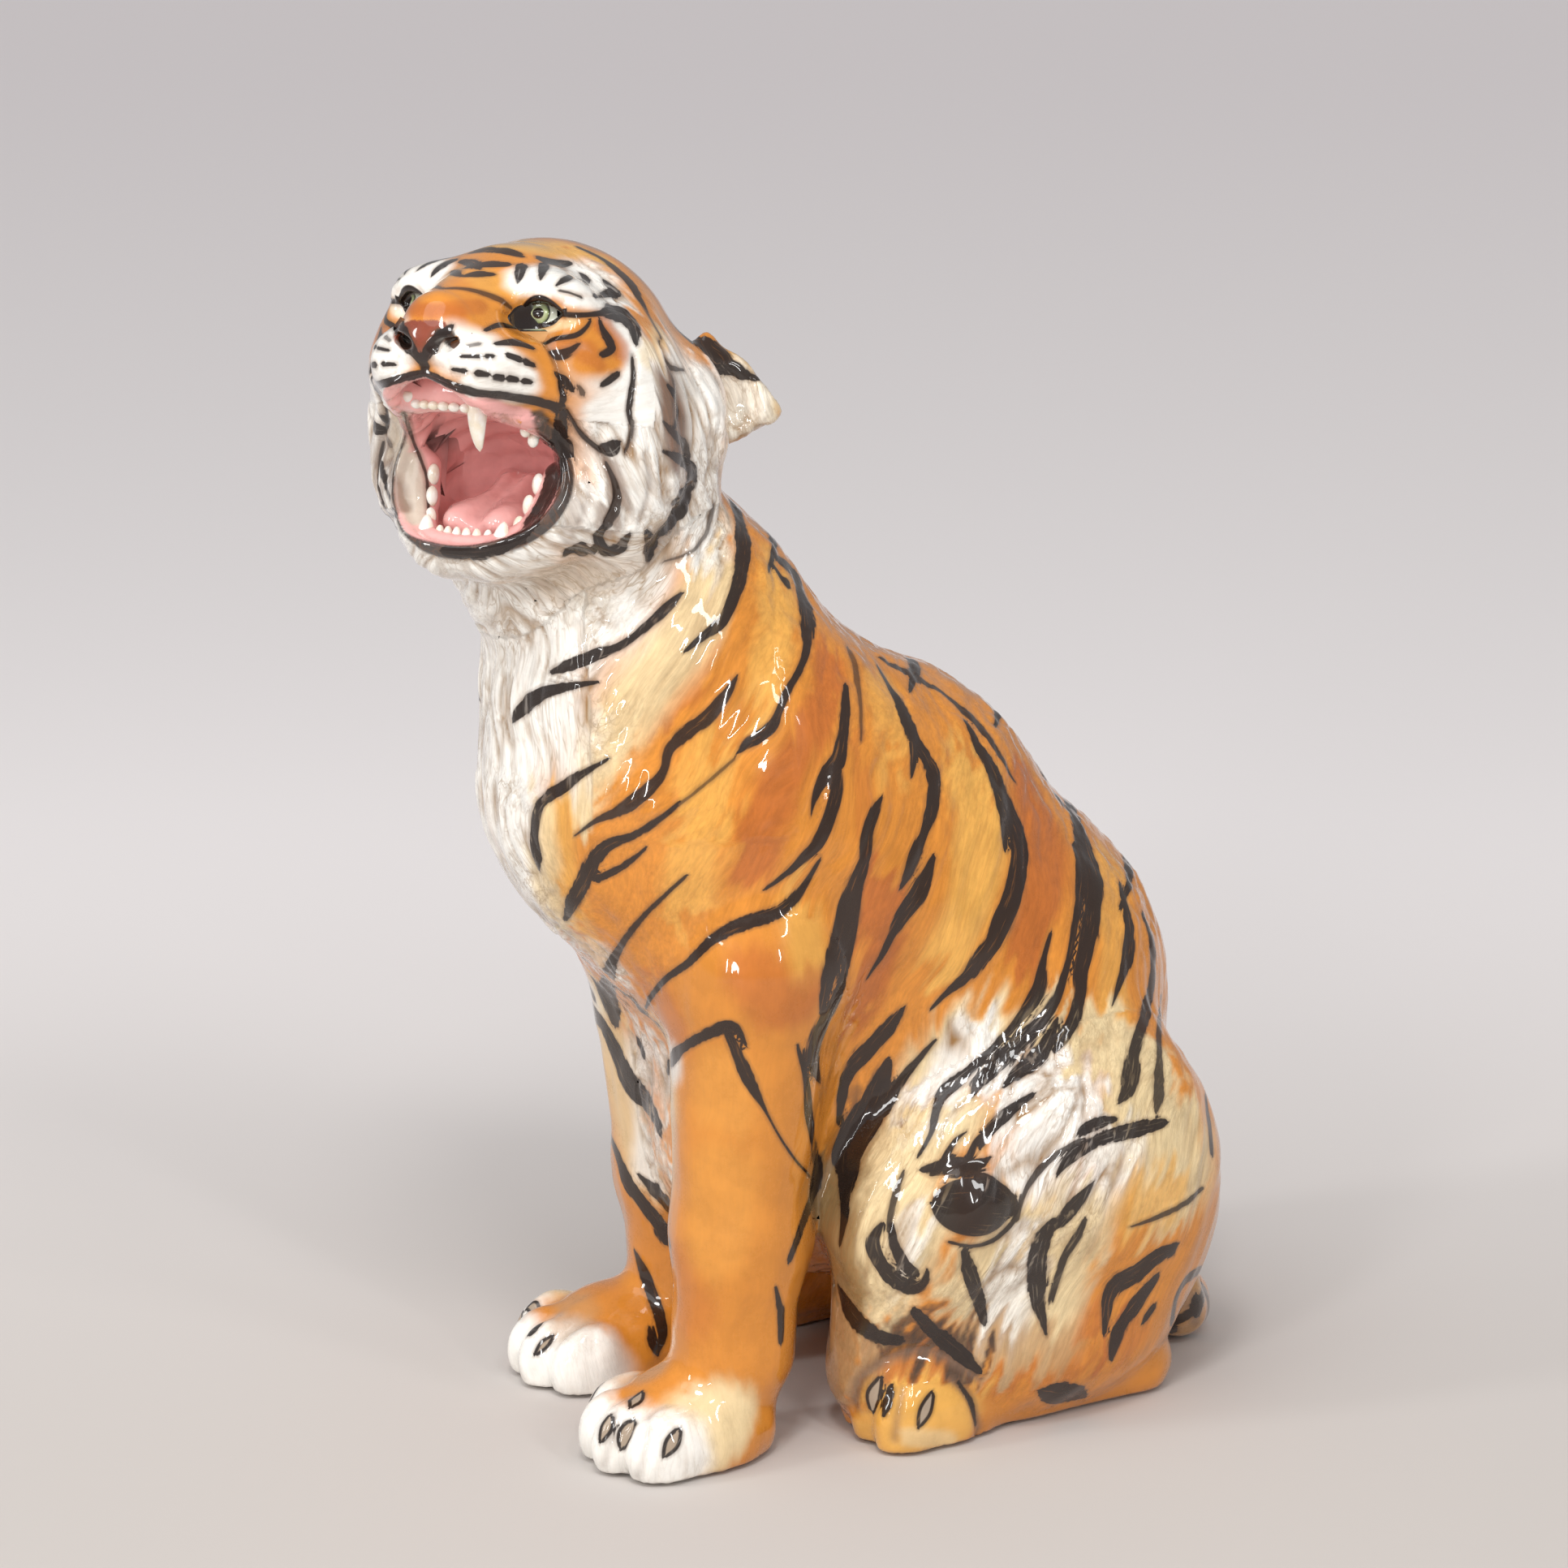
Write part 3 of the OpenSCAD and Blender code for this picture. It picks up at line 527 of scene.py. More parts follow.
def stroke_on_skin(points, steps):
    """A stroke on the clay: places, normals, and half widths in mm, wider where the skin turns away."""
    line = smooth_path(points, steps)
    places, normals, halves = [], [], []
    reach = CAMERA_FAR
    for i, (x, y, half) in enumerate(line):
        at, normal, reach = under_pixel(x, y, reach)
        before, after = line[max(i - 1, 0)], line[min(i + 1, len(line) - 1)]
        side = np.array([after[1] - before[1], before[0] - after[0]])
        side = side / max(np.hypot(*side), 1e-6) * max(half, 2)
        one, two = (under_pixel(x + k * side[0], y + k * side[1], reach)[0] for k in (-1, 1))
        plain = half / PIXELS_PER_MM
        spread = np.linalg.norm(two - one) / (2 * max(half, 2) / PIXELS_PER_MM)
        places.append(at)
        normals.append(normal)
        halves.append(plain * np.clip(spread, 1, MOST_SPREAD))
    return np.array(places), np.array(normals), np.array(halves)


def other_side(places, on_head):
    """The mirror image of a stroke, laid on the clay again."""
    if on_head:
        q = (places - HEAD_AT) @ head_turn
        places = (q * (-1, 1, 1)) @ head_turn.T + HEAD_AT
    else:
        places = places * (-1, 1, 1)
    found = [skin_tree.find_nearest(Vector(p)) for p in places]
    keep = np.array([f[3] is not None and f[3] < MIRROR_REACH for f in found])
    return np.array([f[0] for f in found]), np.array([f[1] for f in found]), keep


def nearest_on(places, halves, keep, points):
    """Distance from points to a stroke, and the foot of each: segment, part of it."""
    a, b = places[:-1], places[1:]
    sound = keep[:-1] & keep[1:] & (length(b - a) < STROKE_JUMP)
    index = np.flatnonzero(sound)
    if not len(index):
        return None
    a, ab = a[index], (b - a)[index]
    square = np.maximum(np.einsum("ij,ij->i", ab, ab), 1e-9)
    t = np.clip(np.einsum("pij,ij->pi", points[:, None, :] - a[None], ab) / square, 0, 1)
    gap = np.linalg.norm(points[:, None, :] - a[None] - t[..., None] * ab[None], axis=2)
    half = halves[index][None] * (1 - t) + halves[index + 1][None] * t
    best = np.argmin(gap - half, 1)
    row = np.arange(len(points))
    return gap[row, best], half[row, best], index[best], t[row, best]


def near_stroke(places, margin):
    low, high = places.min(0) - margin, places.max(0) + margin
    return np.flatnonzero(np.all((skin_points > low) & (skin_points < high), 1))


print("skin", len(skin_points), "points", len(skin_quads), "faces")

# %% [markdown]
# ## Stripes
#
# Each stroke is a row of (x, y, half width) in pixels. Its tone is 1 for the black glaze and less for the
# thinner brown. Two tones above 1 are marks for the shader: a crisp spot has no ragged edge, and a claw has
# a pale core as well. The strokes of the head are mirrored in the head's own frame.

# %% Strokes on the body
CRISP, CLAW = 1.2, 1.3
BODY_STROKES = {
    "neck_front": (1, [(893, 575, 3), (905, 620, 5), (915, 660, 7), (914, 700, 8), (905, 735, 8),
        (890, 765, 7), (868, 783, 5), (845, 802, 2)]),
    "neck_back": (1, [(958, 688, 4), (978, 708, 8), (990, 738, 8), (995, 770, 7), (994, 800, 5),
        (985, 825, 4), (970, 852, 5), (960, 877, 5), (950, 897, 7), (922, 916, 6), (910, 927, 2)]),
    "throat_bar": (1, [(840, 731, 2), (820, 750, 6), (795, 773, 5), (765, 795, 5), (735, 807, 7),
        (705, 819, 7), (680, 828, 3)]),
    "throat_low": (1, [(735, 841, 2), (700, 846, 5), (668, 855, 8), (648, 868, 9), (634, 888, 2)]),
    "chest_hook": (1, [(748, 936, 2), (715, 955, 5), (690, 972, 7), (670, 985, 6), (660, 1003, 6),
        (657, 1030, 5), (660, 1052, 6), (663, 1070, 2)]),
    "shoulder_grey": (0.9, [(908, 834, 2), (893, 858, 6), (870, 885, 8), (845, 903, 8), (824, 925, 6),
        (818, 950, 5), (802, 970, 7), (778, 990, 8), (755, 1003, 6), (732, 1013, 3), (708, 1030, 1)]),
    "shoulder_low": (1, [(838, 988, 2), (812, 1010, 4), (780, 1030, 5), (752, 1040, 7), (733, 1057, 9),
        (719, 1086, 10), (706, 1110, 9), (696, 1133, 3)]),
    "shoulder_low_in": (1, [(795, 1046, 2), (768, 1068, 4), (735, 1084, 5)]),
    "shoulder_hair": (0.6, [(905, 935, 1.5), (880, 957, 2), (852, 980, 2), (835, 992, 2)]),
    "blade_top": (1, [(1043, 846, 3), (1042, 880, 6), (1036, 915, 7), (1030, 937, 9), (1019, 953, 9),
        (1009, 970, 6), (1002, 988, 3), (999, 1003, 1)]),
    "blade_hair": (0.6, [(1045, 800, 2), (1056, 830, 3), (1062, 870, 2), (1060, 912, 1.5)]),
    "blade_mid": (1, [(1031, 955, 5), (1028, 982, 7), (1020, 1010, 8), (1007, 1037, 8), (990, 1056, 6),
        (973, 1073, 4), (943, 1096, 2)]),
    "blade_low": (1, [(1010, 1060, 2), (992, 1090, 4), (976, 1111, 7), (954, 1126, 8), (922, 1136, 8),
        (897, 1146, 7), (872, 1163, 6), (848, 1186, 5), (820, 1206, 4), (803, 1226, 2.5), (797, 1241, 1)]),
    "arm_front": (0.9, [(845, 1080, 2), (802, 1120, 3), (776, 1150, 4), (757, 1180, 5), (750, 1207, 6),
        (752, 1235, 11), (756, 1257, 6)]),
    "blade_side": (1, [(1086, 983, 2), (1076, 1005, 7), (1069, 1030, 8), (1066, 1060, 8),
        (1055, 1090, 10), (1045, 1120, 12), (1038, 1150, 12), (1030, 1180, 11), (1021, 1210, 8),
        (1014, 1243, 3)]),
    "blade_side_low": (1, [(1060, 1100, 3), (1054, 1135, 5), (1046, 1180, 5), (1035, 1220, 6),
        (1016, 1258, 8), (1005, 1288, 9), (1003, 1310, 7), (1011, 1332, 2)]),
    "rib_one": (1, [(1083, 822, 2), (1100, 850, 4), (1115, 885, 7), (1126, 910, 7), (1140, 932, 7),
        (1149, 952, 8), (1152, 975, 8), (1148, 1002, 8), (1140, 1027, 6), (1130, 1050, 8),
        (1120, 1075, 7), (1111, 1093, 3)]),
    "rib_one_twig": (1, [(1121, 900, 3), (1126, 925, 5), (1124, 955, 2)]),
    "rib_one_low": (1, [(1152, 1057, 3), (1142, 1083, 8), (1131, 1105, 10), (1115, 1126, 9),
        (1100, 1150, 5), (1085, 1180, 3), (1069, 1206, 1)]),
    "spine_edge": (0.9, [(1085, 812, 2), (1108, 826, 4), (1135, 840, 4), (1160, 853, 2)]),
    "rib_two_hair": (0.9, [(1150, 846, 2), (1175, 864, 3), (1200, 885, 5), (1218, 908, 4), (1236, 935, 3),
        (1252, 962, 1)]),
    "rib_two": (1, [(1190, 890, 2), (1206, 920, 5), (1221, 945, 7), (1231, 970, 9), (1241, 995, 10),
        (1251, 1022, 10), (1256, 1050, 10), (1253, 1080, 11), (1245, 1110, 12), (1235, 1136, 13),
        (1224, 1160, 11), (1206, 1185, 10), (1190, 1205, 7), (1168, 1223, 4), (1148, 1243, 2)]),
    "rib_two_twig": (1, [(1226, 975, 3), (1236, 1010, 6), (1239, 1044, 3)]),
    "flank": (1, [(1285, 935, 2), (1301, 960, 4), (1318, 990, 7), (1328, 1020, 9), (1336, 1045, 11),
        (1346, 1075, 10), (1349, 1105, 10), (1345, 1140, 10), (1338, 1170, 10), (1331, 1197, 9),
        (1331, 1225, 8), (1324, 1252, 9), (1313, 1274, 8), (1302, 1293, 3)]),
    "flank_in": (1, [(1325, 1045, 4), (1331, 1075, 6), (1330, 1110, 5), (1324, 1150, 4), (1318, 1182, 4),
        (1308, 1212, 5), (1298, 1236, 7), (1284, 1256, 8), (1265, 1276, 10), (1245, 1296, 10),
        (1225, 1315, 9), (1206, 1335, 7), (1197, 1352, 2)]),
    "thigh_hair": (1, [(1296, 1150, 2), (1287, 1185, 4), (1283, 1210, 8), (1274, 1231, 9),
        (1258, 1252, 6), (1243, 1271, 5), (1222, 1293, 4), (1198, 1316, 6), (1174, 1336, 8),
        (1160, 1352, 7), (1152, 1376, 5), (1147, 1397, 3), (1132, 1424, 2)]),
    "thigh_short": (1, [(1301, 1258, 3), (1291, 1285, 9), (1275, 1306, 10), (1255, 1321, 8),
        (1238, 1337, 3)]),
    "rump_one": (1, [(1380, 1090, 2), (1388, 1120, 4), (1392, 1150, 6), (1390, 1176, 7), (1385, 1197, 5),
        (1378, 1217, 3), (1371, 1238, 1)]),
    "rump_two": (0.9, [(1410, 1128, 3), (1418, 1160, 5), (1420, 1190, 5), (1418, 1220, 5),
        (1412, 1246, 6), (1405, 1272, 6), (1398, 1297, 7), (1395, 1320, 12), (1391, 1340, 9),
        (1379, 1357, 3)]),
    "rump_three": (0.8, [(1432, 1230, 2), (1428, 1270, 3), (1430, 1310, 4), (1429, 1345, 7),
        (1425, 1367, 3)]),
    "rump_edge": (0.9, [(1486, 1350, 2), (1491, 1385, 4), (1493, 1420, 3)]),
    "groin": (1, [(1112, 1243, 3), (1098, 1260, 8), (1080, 1281, 10), (1061, 1301, 10), (1046, 1322, 8),
        (1038, 1347, 6), (1032, 1382, 3)]),
    "groin_broad": (1, [(1094, 1308, 5), (1086, 1331, 11), (1076, 1356, 15), (1068, 1378, 21),
        (1056, 1401, 21), (1047, 1425, 18), (1045, 1447, 12), (1041, 1472, 7), (1041, 1502, 5),
        (1036, 1532, 2)]),
    "groin_out": (1, [(1152, 1283, 2), (1131, 1305, 4), (1111, 1330, 6), (1098, 1351, 8),
        (1088, 1368, 10)]),
    "thigh_dash": (1, [(1272, 1349, 3), (1251, 1364, 6), (1231, 1380, 8), (1216, 1396, 6),
        (1209, 1412, 3)]),
    "knee_lash": (1, [(1138, 1441, 4), (1160, 1437, 8), (1180, 1433, 9), (1200, 1436, 8), (1218, 1428, 3)]),
    "knee_lash_one": (1, [(1163, 1430, 5), (1176, 1407, 3), (1190, 1395, 1)]),
    "knee_lash_two": (1, [(1192, 1431, 5), (1203, 1407, 4), (1213, 1395, 2)]),
    "knee_spot": (CRISP, [(1160, 1484, 13), (1178, 1485, 29), (1195, 1486, 34), (1212, 1488, 31),
        (1230, 1491, 19), (1250, 1494, 4)]),
    "knee_ring": (0.9, [(1146, 1447, 3), (1178, 1445, 3), (1210, 1449, 4), (1236, 1464, 4),
        (1252, 1484, 4), (1251, 1502, 3), (1232, 1524, 3), (1202, 1535, 3), (1170, 1530, 2)]),
    "hip": (1, [(1436, 1383, 5), (1411, 1389, 9), (1386, 1395, 10), (1365, 1401, 8), (1345, 1409, 7),
        (1325, 1420, 8), (1311, 1434, 5), (1302, 1447, 2)]),
    "hip_up": (1, [(1332, 1394, 6), (1350, 1385, 8), (1372, 1379, 4)]),
    "hip_hair": (0.8, [(1330, 1405, 3), (1300, 1424, 3), (1275, 1450, 4), (1260, 1480, 3),
        (1255, 1503, 2)]),
    "calf_top": (1, [(1346, 1458, 2), (1330, 1476, 7), (1315, 1496, 8), (1302, 1512, 3)]),
    "calf": (1, [(1301, 1504, 4), (1286, 1525, 9), (1279, 1550, 11), (1278, 1580, 11), (1280, 1605, 9),
        (1285, 1626, 5), (1288, 1643, 2)]),
    "calf_hair": (0.9, [(1336, 1504, 3), (1325, 1526, 5), (1310, 1552, 4), (1301, 1580, 4),
        (1297, 1602, 2)]),
    "shin_line": (1, [(1189, 1542, 5), (1196, 1570, 9), (1205, 1600, 8), (1211, 1628, 4)]),
    "shin_loop": (1, [(1087, 1508, 3), (1076, 1530, 8), (1085, 1556, 9), (1105, 1580, 10),
        (1126, 1588, 8), (1140, 1580, 5), (1143, 1568, 3)]),
    "shin_loop_in": (1, [(1098, 1510, 4), (1103, 1535, 6), (1113, 1556, 8), (1127, 1570, 6)]),
    "shin_hair": (0.8, [(1113, 1445, 2), (1104, 1470, 4), (1098, 1496, 4), (1094, 1516, 2)]),
    "ankle": (1, [(1034, 1588, 3), (1044, 1610, 8), (1060, 1630, 10), (1080, 1645, 9), (1106, 1652, 7)]),
    "ankle_gap": (1, [(1128, 1616, 6), (1149, 1640, 9), (1180, 1666, 10), (1206, 1690, 5)]),
    "hock": (1, [(1448, 1536, 4), (1425, 1550, 8), (1400, 1569, 10), (1376, 1582, 11), (1366, 1602, 8),
        (1362, 1642, 3)]),
    "hock_low": (1, [(1424, 1575, 4), (1402, 1604, 8), (1386, 1627, 7), (1375, 1650, 7), (1369, 1673, 3)]),
    "hock_hair": (0.8, [(1480, 1465, 2), (1455, 1485, 3), (1425, 1500, 3), (1392, 1511, 1)]),
    "foot_spot": (1, [(1283, 1714, 4), (1302, 1717, 12), (1320, 1719, 11), (1336, 1721, 2)]),
    "tail_one": (1, [(1484, 1562, 4), (1462, 1578, 5), (1450, 1600, 4), (1444, 1640, 4)]),
    "tail_two": (1, [(1475, 1603, 7), (1478, 1616, 6)]),
    "tail_three": (1, [(1456, 1650, 3), (1478, 1637, 3)]),
    "elbow": (1, [(822, 1321, 3), (831, 1301, 5), (851, 1285, 6), (876, 1272, 7), (896, 1265, 7),
        (909, 1270, 5), (919, 1288, 2)]),
    "elbow_back": (1, [(897, 1273, 5), (909, 1301, 7), (920, 1325, 8), (930, 1344, 6), (944, 1370, 2),
        (961, 1402, 1.5), (982, 1432, 1.5), (1000, 1450, 1)]),
    "arm_back": (1, [(984, 1290, 2), (993, 1330, 4), (1000, 1390, 5), (1007, 1440, 6), (999, 1481, 6),
        (985, 1521, 4), (975, 1552, 3)]),
    "wrist_back": (1, [(957, 1588, 2), (963, 1618, 4), (962, 1652, 3)]),
}

# %% Strokes on the right foreleg and the paws
LEG_STROKES = {
    "arm_across": (1, [(710, 1212, 4), (728, 1240, 8), (744, 1266, 7), (760, 1300, 9), (776, 1331, 11),
        (795, 1356, 10), (808, 1381, 7), (813, 1398, 2)]),
    "arm_lower": (1, [(751, 1398, 3), (763, 1430, 5), (775, 1459, 7), (790, 1480, 7), (806, 1501, 8),
        (820, 1521, 8), (825, 1532, 3)]),
    "arm_lower_in": (1, [(788, 1448, 2), (804, 1464, 6), (817, 1475, 9), (824, 1492, 3)]),
    "wrist_band": (1, [(783, 1543, 2), (793, 1570, 6), (803, 1595, 7), (812, 1620, 7), (816, 1645, 6),
        (812, 1664, 2)]),
    "wrist_dab": (1, [(800, 1638, 3), (804, 1655, 6), (810, 1668, 3)]),
}
CLAW_STROKES = {
    "left_one": (CLAW, [(751, 1748, 5), (747, 1759, 8), (742, 1772, 5)]),
    "left_two": (CLAW, [(779, 1754, 5), (773, 1767, 9), (767, 1781, 5)]),
    "left_three": (CLAW, [(835, 1765, 6), (828, 1778, 10), (820, 1791, 5)]),
    "left_far": (CLAW, [(788, 1718, 4), (783, 1725, 6), (778, 1732, 4)]),
    "right_one": (1, [(666, 1629, 3), (654, 1641, 4)]),
    "right_two": (CLAW, [(679, 1648, 4), (670, 1657, 7), (661, 1667, 4)]),
    "hind_one": (CLAW, [(1084, 1700, 5), (1077, 1718, 10), (1076, 1734, 5)]),
    "hind_two": (1, [(1098, 1710, 4), (1093, 1728, 6), (1090, 1742, 3)]),
    "hind_three": (CLAW, [(1147, 1720, 5), (1140, 1738, 9), (1133, 1755, 4)]),
    "hind_edge": (0.9, [(1182, 1704, 2), (1200, 1729, 3), (1206, 1757, 2)]),
}
print("body strokes", len(BODY_STROKES), "leg strokes", len(LEG_STROKES), "claws", len(CLAW_STROKES))

# %% Strokes on the head
HEAD_STROKES = {
    "forehead_one": (0.9, [(580, 312, 2), (602, 309, 4), (625, 310, 4), (640, 313, 2)]),
    "forehead_two": (0.9, [(577, 330, 3), (600, 326, 5), (624, 326, 3)]),
    "forehead_three": (0.9, [(571, 340, 2), (590, 338, 4), (607, 338, 2)]),
    "nose_side": (0.7, [(545, 355, 1.5), (572, 356, 2), (600, 363, 3), (616, 371, 3), (628, 379, 2)]),
    "brow_block": (1, [(643, 328, 7), (641, 337, 6), (638, 347, 2)]),
    "brow_wedge": (1, [(667, 319, 4), (677, 323, 7), (689, 324, 5), (702, 323, 2)]),
    "brow_wedge_low": (1, [(671, 326, 6), (668, 336, 4), (666, 344, 1.5)]),
    "brow_dash": (1, [(686, 351, 1.5), (695, 345, 3.5), (704, 340, 2)]),
    "brow_comma": (1, [(717, 338, 2), (722, 343, 4), (721, 350, 2.5)]),
    "brow_line": (0.8, [(690, 358, 1.5), (703, 361, 1.5), (716, 366, 1.5)]),
    "brow_end": (1, [(746, 346, 2), (752, 353, 5), (757, 359, 6), (745, 363, 3), (732, 365, 2)]),
    "eye_tail": (1, [(690, 386, 3), (706, 388, 3), (724, 388, 3), (743, 386, 4)]),
    "eye_wedge": (1, [(743, 386, 4), (758, 386, 8), (772, 392, 10), (780, 404, 7), (783, 421, 3)]),
    "cheek_one": (1, [(671, 418, 2), (690, 416, 3), (710, 413, 3), (722, 404, 2.5), (727, 396, 2)]),
    "cheek_two": (0.9, [(681, 432, 3), (692, 437, 6), (704, 431, 4), (713, 424, 2)]),
    "cheek_three": (1, [(739, 396, 2), (743, 408, 4), (750, 419, 5), (753, 430, 5), (742, 437, 4)]),
    "cheek_four": (1, [(687, 461, 4), (697, 469, 5), (705, 480, 3)]),
    "cheek_small": (0.7, [(713, 476, 2), (718, 484, 4)]),
    "cheek_five": (1, [(743, 474, 3), (752, 468, 5), (761, 461, 4)]),
    "cheek_six": (0.8, [(638, 404, 2), (655, 412, 3)]),
    "muzzle_end": (1, [(690, 470, 2), (694, 486, 4), (692, 502, 4)]),
    "drop_edge": (0.9, [(782, 441, 2), (782, 467, 3), (778, 490, 4), (777, 508, 4), (779, 522, 2)]),
    "drop_edge_low": (0.7, [(781, 520, 2), (779, 540, 2), (772, 558, 2)]),
    "drop_tip": (1, [(741, 555, 5), (752, 553, 9), (762, 547, 4)]),
    "drop_front": (0.8, [(699, 508, 2), (713, 533, 2.5), (728, 548, 3), (740, 558, 3)]),
    "lip_top": (1, [(520, 459, 4), (545, 470, 5), (572, 480, 5), (602, 486, 5), (640, 491, 5),
        (670, 497, 5), (690, 505, 6)]),
    "philtrum": (1, [(520, 440, 5), (521, 461, 3)]),
    "nose_edge": (1, [(556, 402, 3), (544, 414, 7), (531, 429, 8), (521, 444, 5)]),
    "whisker_one": (1, [(598, 407, 2), (616, 401, 3), (634, 404, 2)]),
    "whisker_two": (0.6, [(574, 427, 2), (590, 424, 2)]),
    "whisker_three": (1, [(611, 424, 2), (634, 422, 4), (656, 429, 2)]),
    "whisker_four": (1, [(569, 439, 2), (591, 439, 2.5)]),
    "whisker_five": (1, [(600, 439, 3), (607, 439, 2.5)]),
    "whisker_six": (1, [(626, 438, 3), (640, 443, 4)]),
    "whisker_dot": (1, [(648, 446, 4), (657, 450, 3)]),
    "whisker_seven": (1, [(558, 455, 2), (572, 457, 3)]),
    "whisker_eight": (1, [(589, 460, 4), (601, 462, 3)]),
    "whisker_nine": (1, [(611, 465, 4), (619, 466, 4)]),
    "whisker_ten": (1, [(628, 466, 4), (637, 468, 3)]),
    "whisker_last": (1, [(646, 470, 4), (654, 471, 3)]),
    "ruff_one": (0.8, [(747, 572, 2), (758, 596, 4), (761, 617, 6), (752, 640, 6), (744, 650, 3)]),
    "ruff_ring": (1, [(744, 650, 4), (737, 664, 6), (747, 679, 6), (765, 676, 6), (773, 660, 4)]),
    "ruff_scrawl": (1, [(698, 682, 3), (711, 675, 6), (724, 680, 6), (734, 673, 3)]),
    "ruff_knob": (1, [(797, 657, 4), (804, 672, 7), (801, 689, 4)]),
    "ruff_three": (1, [(849, 582, 4), (851, 597, 7), (842, 609, 7), (832, 619, 3)]),
    "ruff_four": (1, [(850, 613, 3), (837, 632, 6), (823, 648, 7), (812, 661, 3)]),
    "ruff_five": (0.6, [(880, 622, 1.5), (871, 658, 2), (850, 681, 2), (820, 692, 1)]),
    "ruff_dark": (0.9, [(824, 476, 2), (834, 490, 4), (838, 510, 4), (832, 524, 2)]),
    "ruff_dark_low": (0.9, [(818, 556, 2), (834, 564, 5), (850, 574, 5), (855, 586, 2)]),
    "ruff_six": (0.8, [(818, 520, 1.5), (832, 536, 4), (846, 548, 4), (852, 560, 2)]),
    "ruff_top": (0.7, [(815, 420, 1.5), (822, 438, 3), (832, 452, 2), (842, 456, 1)]),
    "crown": (0.9, [(713, 305, 2), (740, 317, 3), (760, 332, 5), (778, 350, 6), (789, 368, 4),
        (798, 384, 2)]),
    "crown_side": (0.6, [(790, 372, 1.5), (803, 394, 2), (815, 415, 1.5)]),
    "ear_root": (1, [(826, 394, 3), (838, 404, 6), (850, 416, 7), (862, 426, 6)]),
    "ear_back": (1, [(866, 420, 6), (876, 436, 11), (896, 452, 10), (920, 462, 6), (937, 468, 2)]),
}
NEAR_STROKES = {
    "lip_side": (1, [(692, 500, 5), (690, 530, 9), (688, 560, 11), (683, 590, 11), (671, 618, 9),
        (655, 645, 8), (635, 665, 8), (610, 679, 8), (580, 684, 8), (550, 681, 7)]),
}
FAR_STROKES = {
    "far_lip": (0.8, [(497, 508, 2), (510, 545, 2), (520, 570, 2), (526, 592, 2), (528, 632, 2)]),
    "far_ruff_one": (1, [(473, 516, 4), (476, 526, 2)]),
    "far_ruff_two": (0.9, [(470, 573, 3), (474, 600, 4), (488, 637, 3)]),
    "far_flap": (0.5, [(474, 535, 2), (482, 548, 3)]),
    "nose_far_edge": (1, [(488, 400, 3), (496, 420, 4), (508, 434, 5), (519, 445, 5)]),
}
print("head strokes", len(HEAD_STROKES) + len(NEAR_STROKES) + len(FAR_STROKES))

# %% [markdown]
# ## The hidden back
#
# The photograph doesn't show the spine, the back of the head or the tail from behind. Their stripes are a
# guess in the same hand: each stroke is a row of (x, y, z, half width) in millimetres, laid on the nearest
# clay. The tail is ringed.

# %% Strokes on the back
SPINE_STROKES = [
    (1, [(-40, -72, 440, 1.0), (-20, -56, 456, 3.0), (4, -48, 462, 2.5), (26, -60, 452, 1.0)]),
    (1, [(-26, -30, 420, 1.0), (-6, -14, 424, 3.2), (20, -22, 420, 3.0), (42, -40, 408, 1.0)]),
    (1, [(-50, 14, 372, 1.0), (-22, 34, 386, 3.5), (2, 42, 388, 2.0)]),
    (1, [(8, 60, 366, 1.5), (28, 54, 362, 3.4), (50, 38, 352, 1.0)]),
    (1, [(-40, 78, 326, 1.0), (-14, 100, 334, 3.6), (14, 102, 332, 3.0), (36, 88, 326, 1.0)]),
    (1, [(-46, 112, 276, 1.0), (-18, 142, 286, 3.0), (0, 148, 286, 1.5)]),
    (1, [(4, 168, 248, 1.5), (26, 160, 244, 3.6), (52, 138, 232, 1.0)]),
    (1, [(-56, 158, 204, 1.0), (-26, 186, 212, 3.8), (-2, 192, 212, 1.5)]),
    (1, [(6, 200, 168, 1.5), (32, 192, 164, 3.4), (58, 172, 154, 1.0)]),
    (0.9, [(-60, 180, 140, 1.0), (-34, 202, 136, 3.2), (-8, 208, 132, 1.0)]),
]
SKULL_STROKES = [
    (1, [(-34, 6, 56, 1.0), (-18, 16, 62, 3.0), (-2, 18, 64, 1.5)]),
    (1, [(4, 26, 60, 1.5), (20, 24, 58, 3.0), (38, 14, 50, 1.0)]),
    (1, [(-44, 34, 40, 1.0), (-22, 44, 48, 3.4), (6, 48, 48, 2.6), (26, 44, 44, 1.0)]),
    (1, [(-30, 58, 28, 1.0), (-8, 62, 30, 2.8), (18, 60, 26, 3.2), (42, 48, 18, 1.0)]),
    (1, [(-48, 56, 4, 1.0), (-24, 66, 8, 3.4), (2, 68, 6, 1.2)]),
    (0.9, [(8, 68, -14, 1.2), (28, 64, -18, 3.0), (46, 54, -26, 1.0)]),
]
TAIL_RING_FIRST, TAIL_RING_STEP, TAIL_RING_HALF = 5, 2, 3.4
print("strokes on the back", len(SPINE_STROKES) + len(SKULL_STROKES))

# %% [markdown]
# ## Laying the strokes
#
# Every point of the skin keeps what it knows of its nearest stroke: how far across the stroke it lies, the
# brush's half width there, how far it is from the stroke's edge, how far along, and a number for the
# stroke. The shader makes the sharp edge and the dry streaks of the brush from these smooth values, so a
# stroke can be finer than the mesh.

# %% Lay the strokes
STROKE_STEPS = 6
STROKE_MARGIN = 9.0
STROKE_NUMBER_STEP = 7.3
LEAST_FACING = 0.15
RING_POINTS = 15
stripe = np.tile(np.array(NO_STROKE, F), (len(skin_points), 1))
brush = np.zeros((len(skin_points), 3), F)
strokes_laid = 0


